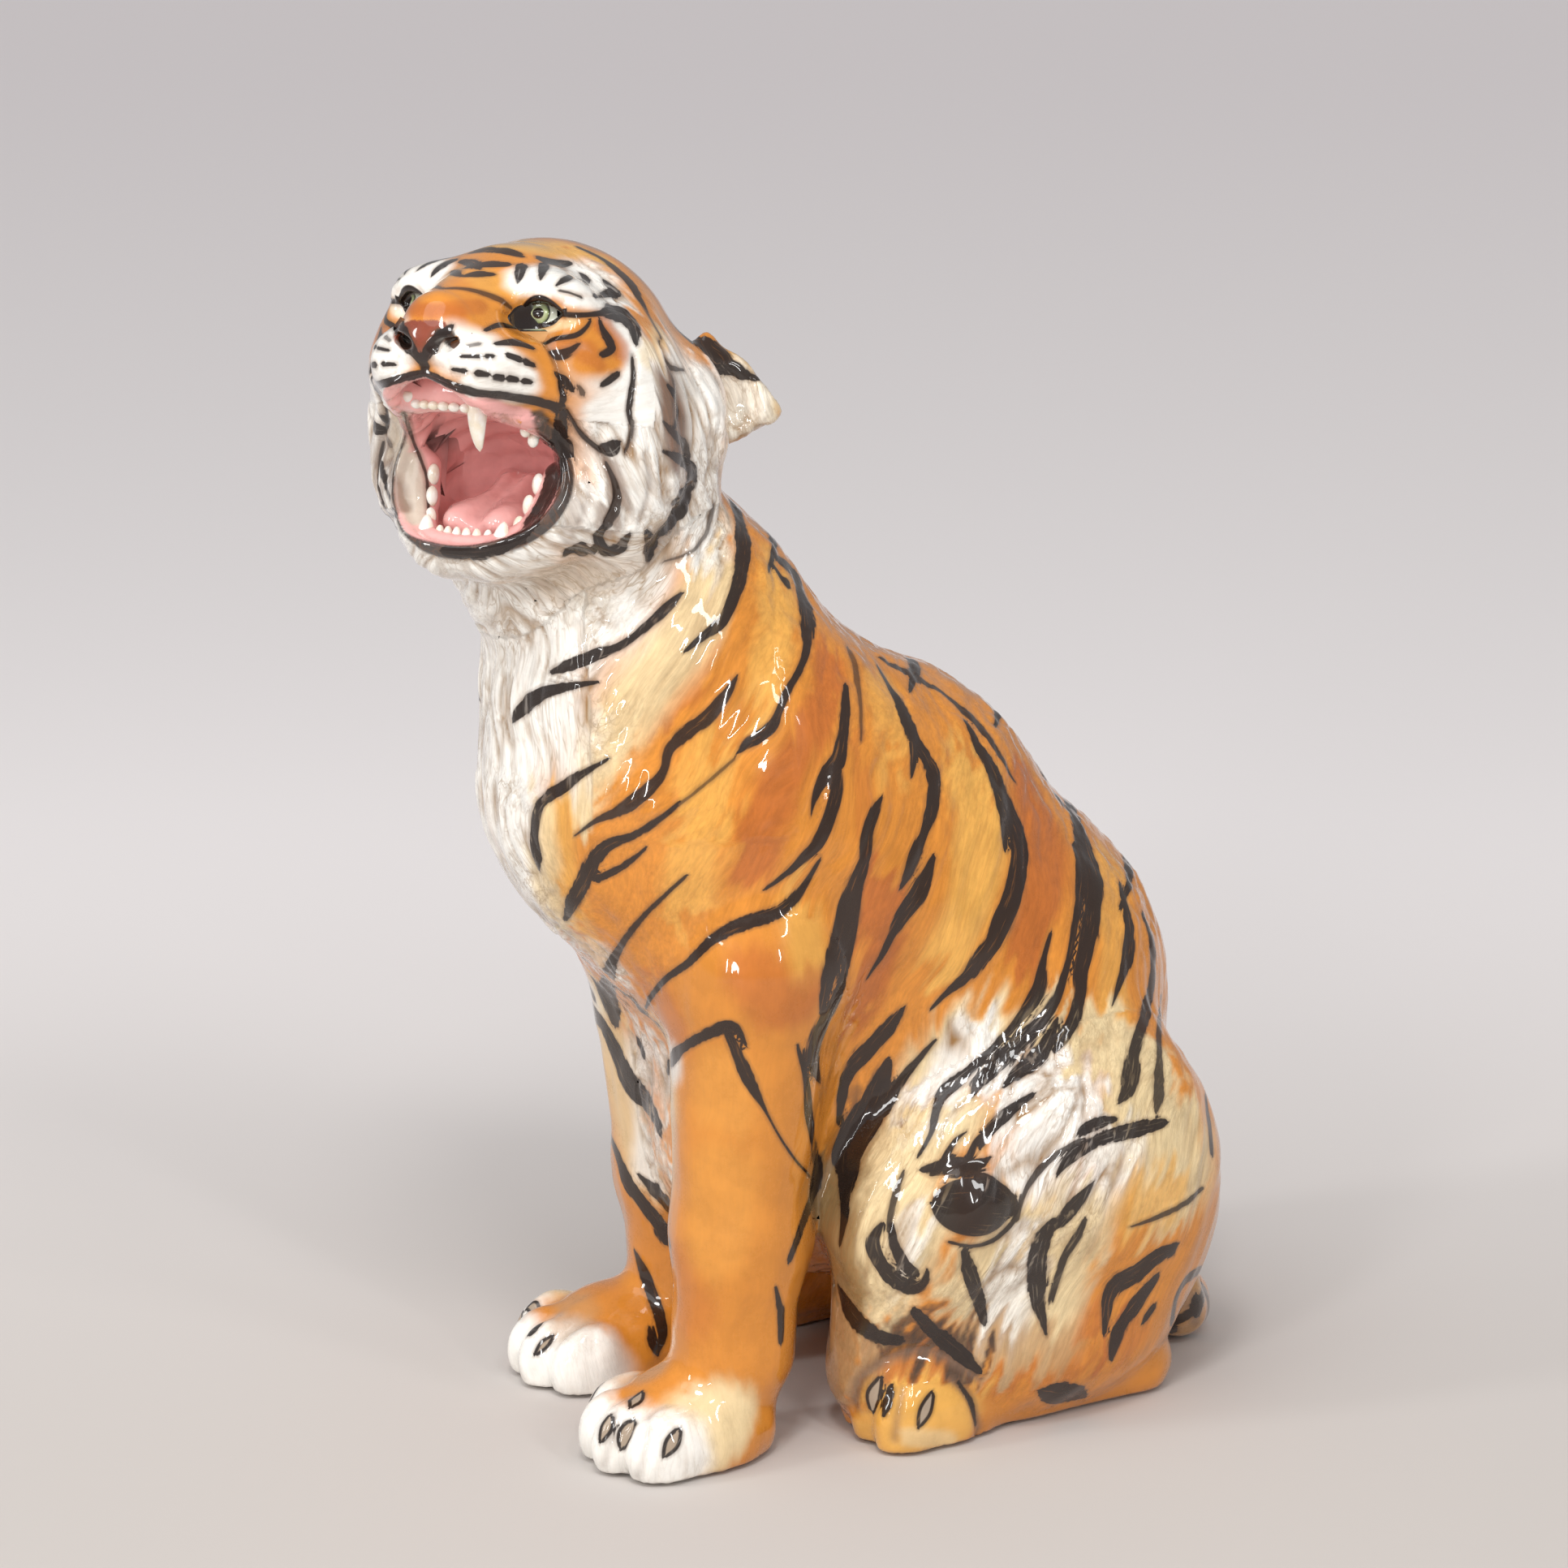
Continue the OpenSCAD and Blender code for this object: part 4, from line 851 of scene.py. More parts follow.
def lay_stroke(places, normals, halves, keep, tone):
    global strokes_laid
    near = near_stroke(places, halves.max() + STROKE_MARGIN)
    if not len(near):
        return
    points = skin_points[near]
    found = nearest_on(places, halves, keep, points)
    if found is None:
        return
    gap, half, segment, part = found
    heading = places[segment + 1] - places[segment]
    heading = heading / np.maximum(length(heading), 1e-6)[:, None]
    foot = places[segment] + part[:, None] * (places[segment + 1] - places[segment])
    side = np.cross(heading, skin_normals[near])
    cross = gap * np.where(np.einsum("ij,ij->i", points - foot, side) >= 0, 1, -1)
    facing = np.einsum("ij,ij->i", normals[segment], skin_normals[near]) > LEAST_FACING
    better = (gap - half < stripe[near, 2]) & facing
    run = np.concatenate([[0], np.cumsum(length(np.diff(places, axis=0)))])
    along = run[segment] + part * (run[segment + 1] - run[segment])
    chosen = near[better]
    stripe[chosen] = np.stack([cross, half, gap - half], 1)[better]
    number = np.full(len(near), strokes_laid * STROKE_NUMBER_STEP)
    brush[chosen] = np.stack([along, number, np.full(len(near), tone)], 1)[better]
    strokes_laid += 1


def lay_strokes(strokes, on_head, twin):
    for tone, points in strokes.values():
        places, normals, halves = stroke_on_skin(points, STROKE_STEPS)
        lay_stroke(places, normals, halves, np.ones(len(places), bool), tone)
        if twin:
            places, normals, keep = other_side(places, on_head)
            lay_stroke(places, normals, halves, keep, tone)


lay_strokes(BODY_STROKES, False, True)
lay_strokes(LEG_STROKES, False, False)
lay_strokes(CLAW_STROKES, False, True)
lay_strokes(HEAD_STROKES, True, True)
lay_strokes(NEAR_STROKES, True, False)
lay_strokes(FAR_STROKES, True, False)


def lay_on_nearest(line, tone):
    found = [skin_tree.find_nearest(Vector(p[:3])) for p in line]
    places, normals = (np.array([f[i] for f in found]) for i in (0, 1))
    lay_stroke(places, normals, line[:, 3], np.ones(len(line), bool), tone)


for tone, points in SPINE_STROKES:
    lay_on_nearest(smooth_path(points, STROKE_STEPS), tone)
for tone, points in SKULL_STROKES:
    line = smooth_path(points, STROKE_STEPS)
    lay_on_nearest(np.c_[from_head(line[:, :3]), line[:, 3]], tone)
turns = np.linspace(0, 2 * math.pi, RING_POINTS)
for k in range(TAIL_RING_FIRST, len(tail_line) - 1, TAIL_RING_STEP):
    way = tail_line[k + 1, :3] - tail_line[k - 1, :3]
    out = np.cross(way, (0, 0, 1))
    out = out / np.linalg.norm(out)
    over = np.cross(out, way) / np.linalg.norm(way)
    ring = tail_line[k, :3] + tail_line[k, 3] * (np.outer(np.cos(turns), out) + np.outer(np.sin(turns), over))
    lay_on_nearest(np.c_[ring, np.full(len(turns), TAIL_RING_HALF) + np.sin(turns * 2 + k)], 0.9)
print("strokes laid", strokes_laid)

# %% [markdown]
# ## Washes
#
# Under the stripes the colour is sprayed on: orange all over, rust along the ribs, yellow where it thins,
# and white on the throat, the haunch, the paws and the face. Some washes are painted shade and not colour of
# the glaze: near black, khaki, tan and greyed white in the creases, under the jaw and in the hollows. A wash
# is a soft wide stroke, so it uses the same points in pixels with a half width that fades out.

# %% Colours and washes
ORANGE = (0.650, 0.240, 0.032)
RUST = (0.450, 0.110, 0.020)
YELLOW = (0.770, 0.400, 0.085)
CREAM = (0.800, 0.620, 0.350)
WHITE = (0.950, 0.915, 0.850)
# Painted shade: white greyed where shade falls, under the jaw and in the hollow of the ear.
WHITE_IN_SHADE = (0.640, 0.560, 0.450)
# Tan is a colour of the tail and the forepaw, and painted shade under the jaw, at the bottom of the haunch
# and at the foot of the shin.
TAN = (0.470, 0.270, 0.120)
# Painted shade: a dark khaki for the back edge of the shin, beside the foreleg.
KHAKI_SHADE = (0.300, 0.185, 0.075)
# Brown is the colour of marks on the tail and the far cheek, and painted shade along the ruff's folds and in
# the crease behind the ruff.
BROWN = (0.220, 0.130, 0.085)
# The pinks of the mouth are paler than its glaze: painted light for the little light that reaches into the
# mouth. The deepest pink is painted shade on the roof at the back.
PINK = (0.880, 0.430, 0.405)
PALE_PINK = (0.840, 0.430, 0.400)
PINK_IN_SHADE = (0.820, 0.360, 0.335)
# Painted shade: a near black for the creases round the shin and hind paw, the groin, the crease behind the
# ruff and the near corner of the mouth.
SHADE = (0.060, 0.036, 0.024)
LIP_BLACK = (0.035, 0.022, 0.018)
NOSE_RED = (0.240, 0.055, 0.030)

BODY_WASHES = [
    (YELLOW, 0.8, [(960, 720, 22), (955, 800, 24), (930, 880, 22)]),
    (YELLOW, 0.7, [(870, 940, 32), (858, 1040, 36), (850, 1110, 34)]),
    (YELLOW, 0.9, [(1190, 950, 26), (1212, 1010, 36), (1200, 1100, 30), (1165, 1180, 30)]),
    (YELLOW, 0.6, [(1090, 850, 22), (1105, 930, 20)]),
    (YELLOW, 0.2, [(890, 1330, 40), (890, 1450, 46), (880, 1540, 40)]),
    (YELLOW, 0.7, [(985, 1110, 26), (1000, 1190, 26)]),
    (YELLOW, 0.6, [(1370, 1060, 24), (1370, 1160, 20), (1375, 1240, 22)]),
    (RUST, 0.75, [(1030, 770, 20), (1018, 850, 24), (985, 920, 22), (950, 990, 34), (935, 1050, 30)]),
    (RUST, 0.75, [(1262, 960, 20), (1285, 1050, 34), (1282, 1110, 34), (1262, 1170, 24)]),
    (RUST, 0.75, [(1078, 1050, 16), (1090, 1110, 24), (1078, 1180, 24), (1060, 1240, 20)]),
    (RUST, 0.6, [(930, 1200, 40), (970, 1240, 36), (1000, 1220, 20)]),
    (RUST, 0.5, [(810, 1230, 22), (830, 1270, 20)]),
    (RUST, 0.5, [(870, 830, 14), (835, 870, 16), (815, 890, 10)]),
    (RUST, 0.35, [(1050, 920, 14), (1062, 990, 16)]),
    (RUST, 0.35, [(830, 1560, 26), (850, 1610, 24)]),
    (RUST, 0.5, [(1330, 1540, 16), (1345, 1620, 20), (1370, 1650, 18)]),
    (RUST, 0.4, [(1230, 1700, 14), (1300, 1698, 14), (1400, 1640, 18)]),
    (CREAM, 0.9, [(872, 640, 26), (875, 720, 34), (840, 790, 40), (785, 860, 40), (745, 920, 36),
        (715, 980, 28)]),
    (WHITE, 1.0, [(790, 640, 50), (770, 720, 54), (710, 780, 60), (660, 850, 62), (640, 920, 60)]),
    (WHITE, 1.0, [(620, 700, 50), (600, 780, 56), (610, 870, 60), (622, 960, 56), (632, 1050, 50),
        (660, 1120, 40)]),
    (WHITE, 0.9, [(690, 1150, 24), (715, 1200, 22), (735, 1230, 16)]),
    (WHITE, 1.0, [(575, 725, 44), (620, 755, 46), (665, 735, 44)]),
    (WHITE, 1.0, [(625, 1000, 48), (645, 1070, 44), (668, 1135, 36), (702, 1190, 26), (726, 1226, 20)]),
    # Painted shade under the jaw: greyed white and a little tan on the throat.
    (WHITE_IN_SHADE, 0.55, [(680, 705, 24), (740, 720, 26), (720, 760, 22)]),
    (TAN, 0.35, [(640, 700, 16), (700, 720, 20), (760, 700, 18), (830, 690, 14)]),
    (CREAM, 0.75, [(720, 1230, 30), (760, 1310, 40), (790, 1400, 38), (800, 1440, 30)]),
    (WHITE, 0.8, [(790, 1280, 20), (800, 1390, 26), (802, 1440, 22)]),
    (ORANGE, 0.9, [(745, 1380, 14), (765, 1470, 18), (790, 1560, 26), (790, 1620, 24)]),
    (CREAM, 1.0, [(1160, 1300, 46), (1260, 1265, 40), (1360, 1290, 44), (1420, 1340, 40)]),
    (CREAM, 1.0, [(1130, 1380, 50), (1250, 1370, 70), (1400, 1390, 60), (1440, 1440, 50)]),
    (WHITE, 0.95, [(1140, 1360, 36), (1210, 1280, 34), (1260, 1340, 44), (1300, 1400, 48),
        (1250, 1440, 40)]),
    (WHITE, 0.85, [(1300, 1330, 36), (1380, 1420, 36), (1350, 1470, 40), (1290, 1480, 40)]),
    (CREAM, 1.0, [(1240, 1520, 40), (1240, 1590, 50), (1245, 1640, 44)]),
    (WHITE, 0.9, [(1245, 1550, 26), (1240, 1610, 30)]),
    (CREAM, 1.0, [(1110, 1410, 40), (1122, 1480, 44), (1100, 1560, 46), (1078, 1612, 38)]),
    (CREAM, 1.0, [(1195, 1570, 50), (1260, 1625, 56), (1300, 1560, 42)]),
    (CREAM, 0.9, [(1330, 1500, 44), (1312, 1580, 36)]),
    (CREAM, 0.9, [(1440, 1395, 50), (1468, 1440, 40), (1425, 1470, 40)]),
    (WHITE, 0.8, [(1250, 1560, 30), (1235, 1630, 34)]),
    # Painted shade: tan along the bottom of the haunch, above the hind foot.
    (TAN, 0.8, [(1190, 1650, 24), (1250, 1664, 30), (1310, 1650, 30)]),
    (CREAM, 1.0, [(1130, 1490, 34), (1120, 1540, 36), (1090, 1580, 34)]),
    (WHITE, 0.8, [(1128, 1500, 26), (1090, 1600, 22)]),
    (YELLOW, 0.8, [(1400, 1490, 34), (1440, 1470, 24), (1330, 1600, 18)]),
    # Painted shade down to the hind paw: khaki along the shin's back edge, tan at the shin's foot, and near
    # black in the groin, along the shin's edge and in the crease above the paw.
    (KHAKI_SHADE, 1.0, [(1010, 1460, 26), (1020, 1520, 30), (1030, 1580, 22)]),
    (TAN, 0.8, [(1030, 1650, 26), (1045, 1700, 24)]),
    (SHADE, 0.8, [(1115, 1632, 18), (1160, 1650, 20), (1202, 1686, 12)]),
    (SHADE, 0.7, [(1062, 1370, 28), (1050, 1430, 28), (1040, 1480, 16)]),
    (SHADE, 0.5, [(1012, 1440, 12), (1002, 1500, 10)]),
    (SHADE, 0.6, [(1014, 1640, 8), (1022, 1690, 10), (1042, 1738, 10)]),
    (YELLOW, 1.0, [(1080, 1730, 36), (1140, 1730, 40), (1185, 1740, 34)]),
    (YELLOW, 0.8, [(1100, 1760, 20), (1160, 1765, 24), (1190, 1755, 20)]),
    (CREAM, 0.9, [(850, 1740, 36), (900, 1740, 36), (880, 1790, 30)]),
    (WHITE, 1.0, [(730, 1750, 36), (770, 1770, 46), (830, 1775, 44), (850, 1800, 34)]),
    (WHITE, 1.0, [(655, 1650, 34), (690, 1655, 40), (730, 1660, 34)]),
    (TAN, 0.5, [(770, 1690, 20), (800, 1690, 16)]),
    (TAN, 0.9, [(1470, 1590, 26), (1460, 1640, 22)]),
    (BROWN, 0.6, [(1462, 1600, 9), (1474, 1630, 8)]),
    (CREAM, 1.0, [(1076, 1450, 34), (1064, 1530, 40), (1066, 1590, 38)]),
    # Painted shade: khaki along the shin's back edge, tan at the shin's foot and near black in the crease
    # above the hind paw.
    (KHAKI_SHADE, 0.8, [(1024, 1440, 22), (1034, 1520, 26), (1042, 1600, 24)]),
    (TAN, 1.0, [(1034, 1632, 30), (1030, 1700, 30), (1066, 1668, 30)]),
    (SHADE, 0.85, [(1096, 1650, 16), (1130, 1656, 20), (1165, 1666, 18), (1206, 1692, 12)]),
    (WHITE, 1.0, [(712, 1790, 30), (745, 1815, 36), (790, 1835, 34), (850, 1832, 34), (890, 1810, 28)]),
    (WHITE, 1.0, [(628, 1675, 28), (650, 1695, 34), (690, 1712, 34), (735, 1705, 30)]),
    (WHITE, 1.0, [(716, 1815, 28), (760, 1852, 32), (830, 1862, 32), (885, 1842, 28)]),
    (CREAM, 0.7, [(900, 1770, 28), (915, 1745, 24)]),
    (YELLOW, 1.0, [(1060, 1760, 16), (1110, 1785, 22), (1170, 1790, 24), (1200, 1775, 14)]),
    (CREAM, 0.6, [(1120, 1770, 12), (1165, 1775, 14)]),
    # Painted shade: khaki along the shin's back edge.
    (KHAKI_SHADE, 0.7, [(1048, 1430, 16), (1050, 1510, 18), (1054, 1590, 18)]),
    (RUST, 0.5, [(1095, 1690, 12), (1130, 1684, 14), (1165, 1694, 12)]),
    (YELLOW, 0.7, [(690, 985, 18), (688, 1060, 20), (705, 1130, 18), (740, 1190, 14)]),
    (CREAM, 0.8, [(668, 1000, 16), (672, 1080, 18), (692, 1145, 14)]),
]
HEAD_WASHES = [
    (WHITE, 1.0, [(800, 440, 60), (810, 540, 70), (800, 620, 60), (740, 640, 50), (690, 640, 40)]),
    (WHITE, 1.0, [(860, 500, 36), (870, 580, 36), (860, 640, 34)]),
    (WHITE, 1.0, [(640, 700, 30), (580, 705, 30), (530, 690, 30)]),
    (ORANGE, 1.0, [(560, 330, 40), (620, 315, 34), (700, 315, 30), (770, 350, 30), (800, 400, 22)]),
    (YELLOW, 1.0, [(600, 300, 18), (640, 303, 20), (690, 305, 18), (740, 318, 14)]),
    (YELLOW, 0.5, [(600, 345, 16), (640, 360, 14)]),
    (ORANGE, 1.0, [(500, 385, 26), (540, 370, 26), (590, 385, 26), (620, 395, 18)]),
    (RUST, 0.5, [(500, 385, 8), (545, 380, 10), (590, 378, 9)]),
    (WHITE, 1.0, [(650, 340, 16), (690, 340, 22), (740, 350, 22), (750, 372, 10), (700, 366, 10)]),
    (WHITE, 1.0, [(560, 430, 30), (600, 440, 34), (640, 470, 28), (590, 475, 24)]),
    (ORANGE, 0.8, [(630, 410, 12), (655, 430, 14), (675, 455, 14), (685, 480, 10)]),
    (ORANGE, 1.0, [(700, 410, 18), (730, 410, 24), (750, 440, 22), (720, 445, 18)]),
    (RUST, 0.6, [(745, 400, 12), (765, 430, 12)]),
    (RUST, 0.5, [(690, 425, 12), (722, 432, 14), (738, 446, 10)]),
    (CREAM, 0.7, [(655, 398, 8), (680, 402, 8), (705, 396, 6)]),
    (WHITE, 1.0, [(740, 510, 22), (750, 530, 20)]),
    (CREAM, 0.6, [(800, 440, 14), (820, 400, 12)]),
    # Painted shade: brown along the folds of the ruff.
    (BROWN, 0.7, [(756, 580, 10), (763, 610, 12), (752, 650, 16)]),
    (BROWN, 0.5, [(690, 570, 12), (712, 620, 12), (700, 660, 14)]),
    (BROWN, 0.6, [(846, 590, 12), (838, 625, 12), (815, 655, 12)]),
    (CREAM, 1.0, [(872, 470, 34), (925, 488, 34), (905, 540, 34)]),
    (WHITE, 0.7, [(872, 470, 24), (915, 492, 26), (900, 535, 24)]),
    # Painted shade: greyed white in the hollow of the ear.
    (WHITE_IN_SHADE, 0.5, [(890, 500, 14), (915, 520, 14)]),
    # Painted shade: brown and near black in the crease behind the ruff.
    (BROWN, 1.0, [(828, 474, 16), (834, 508, 20), (836, 545, 20)]),
    (SHADE, 0.7, [(834, 490, 9), (838, 522, 11), (840, 548, 9)]),
    (PINK, 1.0, [(492, 496, 7), (528, 484, 9), (570, 498, 8), (600, 506, 10), (636, 508, 8)]),
    # Painted shade in the near corner of the mouth.
    (SHADE, 0.9, [(652, 511, 7), (668, 522, 10), (676, 545, 10)]),
]
# The inner side of the far cheek is white, greyed here as painted shade.
FLAP_WHITE_IN_SHADE = (0.620, 0.530, 0.430)
FLAP_WASHES = [
    (FLAP_WHITE_IN_SHADE, 1.0, [(484, 520, 14), (492, 550, 18), (502, 580, 20), (508, 610, 20), (512, 640, 14)]),
    (BROWN, 0.7, [(478, 560, 7), (482, 600, 9), (498, 625, 11)]),
    (PINK, 1.0, [(588, 502, 8), (618, 507, 9), (648, 511, 8)]),
    # Painted shade in the near corner of the mouth.
    (SHADE, 0.9, [(664, 512, 9), (672, 528, 12), (678, 550, 10)]),
]
NOSE_PAD = [
    (NOSE_RED, 1.0, [(494, 405, 8), (520, 403, 8), (546, 405, 8)]),
    (NOSE_RED, 1.0, [(501, 416, 9), (520, 418, 10), (538, 416, 9)]),
    (NOSE_RED, 1.0, [(512, 430, 8), (520, 440, 6), (527, 430, 8)]),
    # The black in the near nostril is partly the nose's black paint and partly painted shade in the hole.
    (LIP_BLACK, 1.0, [(543, 412, 7), (553, 416, 10), (556, 421, 8)]),
]
FAR_WASHES = [
    (WHITE, 1.0, [(480, 440, 26), (470, 480, 26), (480, 540, 34), (480, 600, 34), (500, 650, 30)]),
    (WHITE, 1.0, [(500, 360, 18), (530, 340, 16)]),
]
print("washes", len(BODY_WASHES) + len(HEAD_WASHES) + len(FAR_WASHES))

# %% [markdown]
# ## Fur
#
# The fur is carved as shallow locks that follow the coat: down the chest, back over the ruff, forwards
# and down on the haunch. A noise that is squeezed across the coat and drawn out along it gives the locks,
# and the same squeezed place is kept for the painted hairs.

# %% The lie of the coat
FUR_DRAW = 8.0
SWAY_LONG, SWAY_WIDE = 30.0, 11.0
FLOWS = {
    "chest": (0.0, 0.05, -1.0), "neck": (0.15, -0.62, -0.78), "back": (0.15, -0.40, -0.90),
    "haunch": (0.05, -0.45, -0.89), "leg": (0.0, 0.0, -1.0), "foot": (0.0, 1.0, 0.0),
    "face": (0.35, 0.90, 0.25), "ruff": (0.35, 0.42, -0.84), "jaw": (0.25, 0.95, -0.2),
}
ON_SKULL = ("face", "ruff", "jaw")
NECK_FRONT, NECK_LOW = -40, 300
CHEST_FRONT, CHEST_LOW = -125, 215
JAW_TOP, JAW_BACK = -62, 8
MASK_BACK, MASK_LOW = -26, -16
STREAK_REACH = {"face": 3.0, "foot": 4.0, "leg": 7.0, "jaw": 12.0, "ruff": 18.0}
COAT_STREAK_REACH = 34.0
STREAK_WIDE, STREAK_FINE = 5.0, 2.6
STREAK_CLEAR = 6


def lattice(i, j, k, seed):
    h = (i * 374761393 + j * 668265263 + k * 1440662683 + seed * 974634757) & 0xFFFFFFFF
    h = ((h ^ (h >> 13)) * 1274126177) & 0xFFFFFFFF
    return ((h ^ (h >> 16)) & 0xFFFF) / 65535.0


def clay_noise(q, seed):
    base = np.floor(q).astype(np.int64)
    f = q - base
    f = f * f * f * (f * (f * 6 - 15) + 10)
    out = 0
    for corner in range(8):
        o = ((corner >> 2) & 1, (corner >> 1) & 1, corner & 1)
        w = np.prod([f[:, n] if o[n] else 1 - f[:, n] for n in range(3)], axis=0)
        out = out + w * lattice(base[:, 0] + o[0], base[:, 1] + o[1], base[:, 2] + o[2], seed)
    return out


def drawn_out(p, flow):
    d = np.array(flow) / np.linalg.norm(flow)
    sway = np.stack([clay_noise(p / SWAY_LONG, 20 + i) for i in range(3)], 1) - 0.5
    p = p + sway * SWAY_WIDE
    return p - np.outer(p @ d, d) * (1 - 1 / FUR_DRAW)


far_all, room_all = castings_of(skin_points.astype(F))
point_casting = np.argmin(far_all[:, :LINING], 1)
flesh_all = far_all[:, :LINING].min(1)
head_place = in_head(skin_points.astype(F))
body_place = mirrored(skin_points.astype(F)).astype(float)
face_place = mirrored(head_place).astype(float)
on_head = point_casting >= HEAD
on_torso = point_casting == 0
kind = np.full(len(skin_points), "back", dtype="U8")
kind[on_torso & (skin_points[:, 1] < NECK_FRONT) & (skin_points[:, 2] > NECK_LOW)] = "neck"
kind[on_torso & (skin_points[:, 1] < CHEST_FRONT) & (skin_points[:, 2] > CHEST_LOW)] = "chest"
for name, columns in (("leg", (1, 2)), ("haunch", (3, 4)), ("foot", (5, 6, 7))):
    kind[np.isin(point_casting, columns)] = name
kind[on_head] = "ruff"
kind[on_head & (head_place[:, 2] < JAW_TOP) & (head_place[:, 1] < JAW_BACK)] = "jaw"
kind[(point_casting == HEAD) & (head_place[:, 1] < MASK_BACK) & (head_place[:, 2] > MASK_LOW)] = "face"

fur_place = np.zeros_like(body_place)
flow_at = np.zeros_like(body_place)
for name, flow in FLOWS.items():
    m = kind == name
    on_skull = name in ON_SKULL
    fur_place[m] = drawn_out((face_place if on_skull else body_place)[m], flow)
    left = np.where((head_place if on_skull else skin_points)[m, 0] < 0, -1.0, 1.0)
    lie = np.array(flow) / np.linalg.norm(flow) * np.stack([left, np.ones_like(left), np.ones_like(left)], 1)
    flow_at[m] = (lie @ head_turn.T if on_skull else lie) * STREAK_REACH.get(name, COAT_STREAK_REACH)
streak = clay_noise(fur_place / STREAK_WIDE, 41) + clay_noise(fur_place / STREAK_FINE, 43) * 0.5 - 0.75
wash_points = skin_points + flow_at * (streak * (room_all > STREAK_CLEAR))[:, None]
print("lie of the coat", len(FLOWS), "directions")

# %% [markdown]
# ## Laying the washes
#
# A wash is drawn out along the coat, so its edge runs into the next one in streaks, as a wet brush leaves it.

# %% Lay the washes
WASH_STEPS = 3
WASH_OUT, WASH_SOFT = 1.35, 0.85
PAD_OUT, PAD_SOFT = 1.1, 0.2
TOE_WHITE_HIGH, TOE_WHITE_BACK = 22.0, 24.0
glaze = np.tile(np.array(ORANGE, F), (len(skin_points), 1))


def in_mouth(room, flesh, gum):
    return (room < 1.2) & (flesh < -2.0) | (gum < 0.8)


def lay_wash(places, normals, halves, keep, colour, strength, crisp=False):
    near = near_stroke(places, halves.max() * WASH_OUT + STROKE_MARGIN)
    if not len(near):
        return
    found = nearest_on(places, halves, keep, wash_points[near])
    if found is None:
        return
    gap, half, segment, _ = found
    facing = np.clip(np.einsum("ij,ij->i", normals[segment], skin_normals[near]) * 2 + 0.6, 0, 1)
    out, soft = (PAD_OUT, PAD_SOFT) if crisp else (WASH_OUT, WASH_SOFT)
    fade = np.clip(out - gap / half, 0, soft) / soft
    weight = (strength * facing * fade * fade * (3 - 2 * fade))[:, None]
    glaze[near] = glaze[near] * (1 - weight) + np.array(colour) * weight


def lay_washes(washes, on_head, twin, crisp=False):
    for colour, strength, points in washes:
        places, normals, halves = stroke_on_skin(points, WASH_STEPS)
        lay_wash(places, normals, halves, np.ones(len(places), bool), colour, strength, crisp)
        if twin:
            places, normals, keep = other_side(places, on_head)
            lay_wash(places, normals, halves, keep, colour, strength)


lay_washes(BODY_WASHES, False, True)
for paw_x, toe_y in ((LEFT_FORELEG_X, LEFT_TOE_Y), (RIGHT_FORELEG_X, RIGHT_TOE_Y)):
    low = np.clip((TOE_WHITE_HIGH - skin_points[:, 2]) / 10, 0, 1)
    front = np.clip((toe_y + TOE_WHITE_BACK - skin_points[:, 1]) / 14, 0, 1)
    on_paw = np.abs(skin_points[:, 0] - paw_x) < PAW_W * 0.6
    weight = (low * front * on_paw)[:, None]
    glaze = glaze * (1 - weight) + np.array(WHITE) * weight
lay_washes(HEAD_WASHES, True, True)
lay_washes(FAR_WASHES, True, False)
lay_washes(NOSE_PAD, True, False, crisp=True)
print("washes laid on", len(glaze), "points")

# %% [markdown]
# ## Mouth and lips
#
# The mouth is pink, paler than its glaze as painted light for the little light that reaches in, and deeper
# towards the roof at the back as painted shade. The lip is a dark line along the rim of the mouth, broad
# below and at the corner that faces the camera.

# %% Colour the mouth
THROAT_FRONT, THROAT_LONG = -80, 70
ROOF_LOW, ROOF_HIGH, ROOF_DEEP = -40, 30, 0.25
UNDER_LIP_ROOM, UNDER_LIP_LOW = 2.2, -30
LIP_SOFT, LIP_DEEP = 0.9, 0.95
inside_mouth = in_mouth(room_all, flesh_all, far_all[:, LINING]) | (room_all < -0.8)
# The pinks are paler than the glaze: painted light for the shade inside the mouth.
depth = np.clip((head_place[:, 1] - THROAT_FRONT) / THROAT_LONG, 0, 1)[:, None]
mouth_colour = np.array(PALE_PINK) * (1 - depth) + np.array(PINK) * depth
# Painted shade: the roof turns a deeper pink towards the back.
roof = np.clip((head_place[:, 2] - ROOF_LOW) / ROOF_HIGH, 0, 1)[:, None] * ROOF_DEEP
mouth_colour = mouth_colour * (1 - roof * depth) + np.array(PINK_IN_SHADE) * roof * depth
glaze[inside_mouth] = mouth_colour[inside_mouth]
under_lip = (room_all < UNDER_LIP_ROOM) & (head_place[:, 2] > UNDER_LIP_LOW) & on_head
glaze[under_lip] = mouth_colour[under_lip]
lay_washes(FLAP_WASHES, True, False)
low_lip = np.clip((-18 - head_place[:, 2]) / 12, 0, 1)
near_lip = np.clip((head_place[:, 0] + 24) / 16, 0, 1)
lip_in, lip_out = -1.2 - 1.6 * low_lip * near_lip, 1.2 + (0.4 + 2.4 * low_lip) * near_lip
on_lip = (np.abs(flesh_all) < 6.5) & (room_all < 9)
lip_dark = np.clip((room_all - lip_in) / LIP_SOFT, 0, 1) * np.clip((lip_out - room_all) / LIP_SOFT, 0, 1)
lip_dark = lip_dark * on_lip * low_lip * LIP_DEEP
lip_dark = (lip_dark * (far_all[:, LINING] > 1.0))[:, None]
glaze = glaze * (1 - lip_dark) + np.array(LIP_BLACK) * lip_dark
print("points in the mouth", int(inside_mouth.sum()))

# %% [markdown]
# ## Carving
#
# The locks are carved into the clay where the coat is pale, and the furrows are darkened with a thin brown.

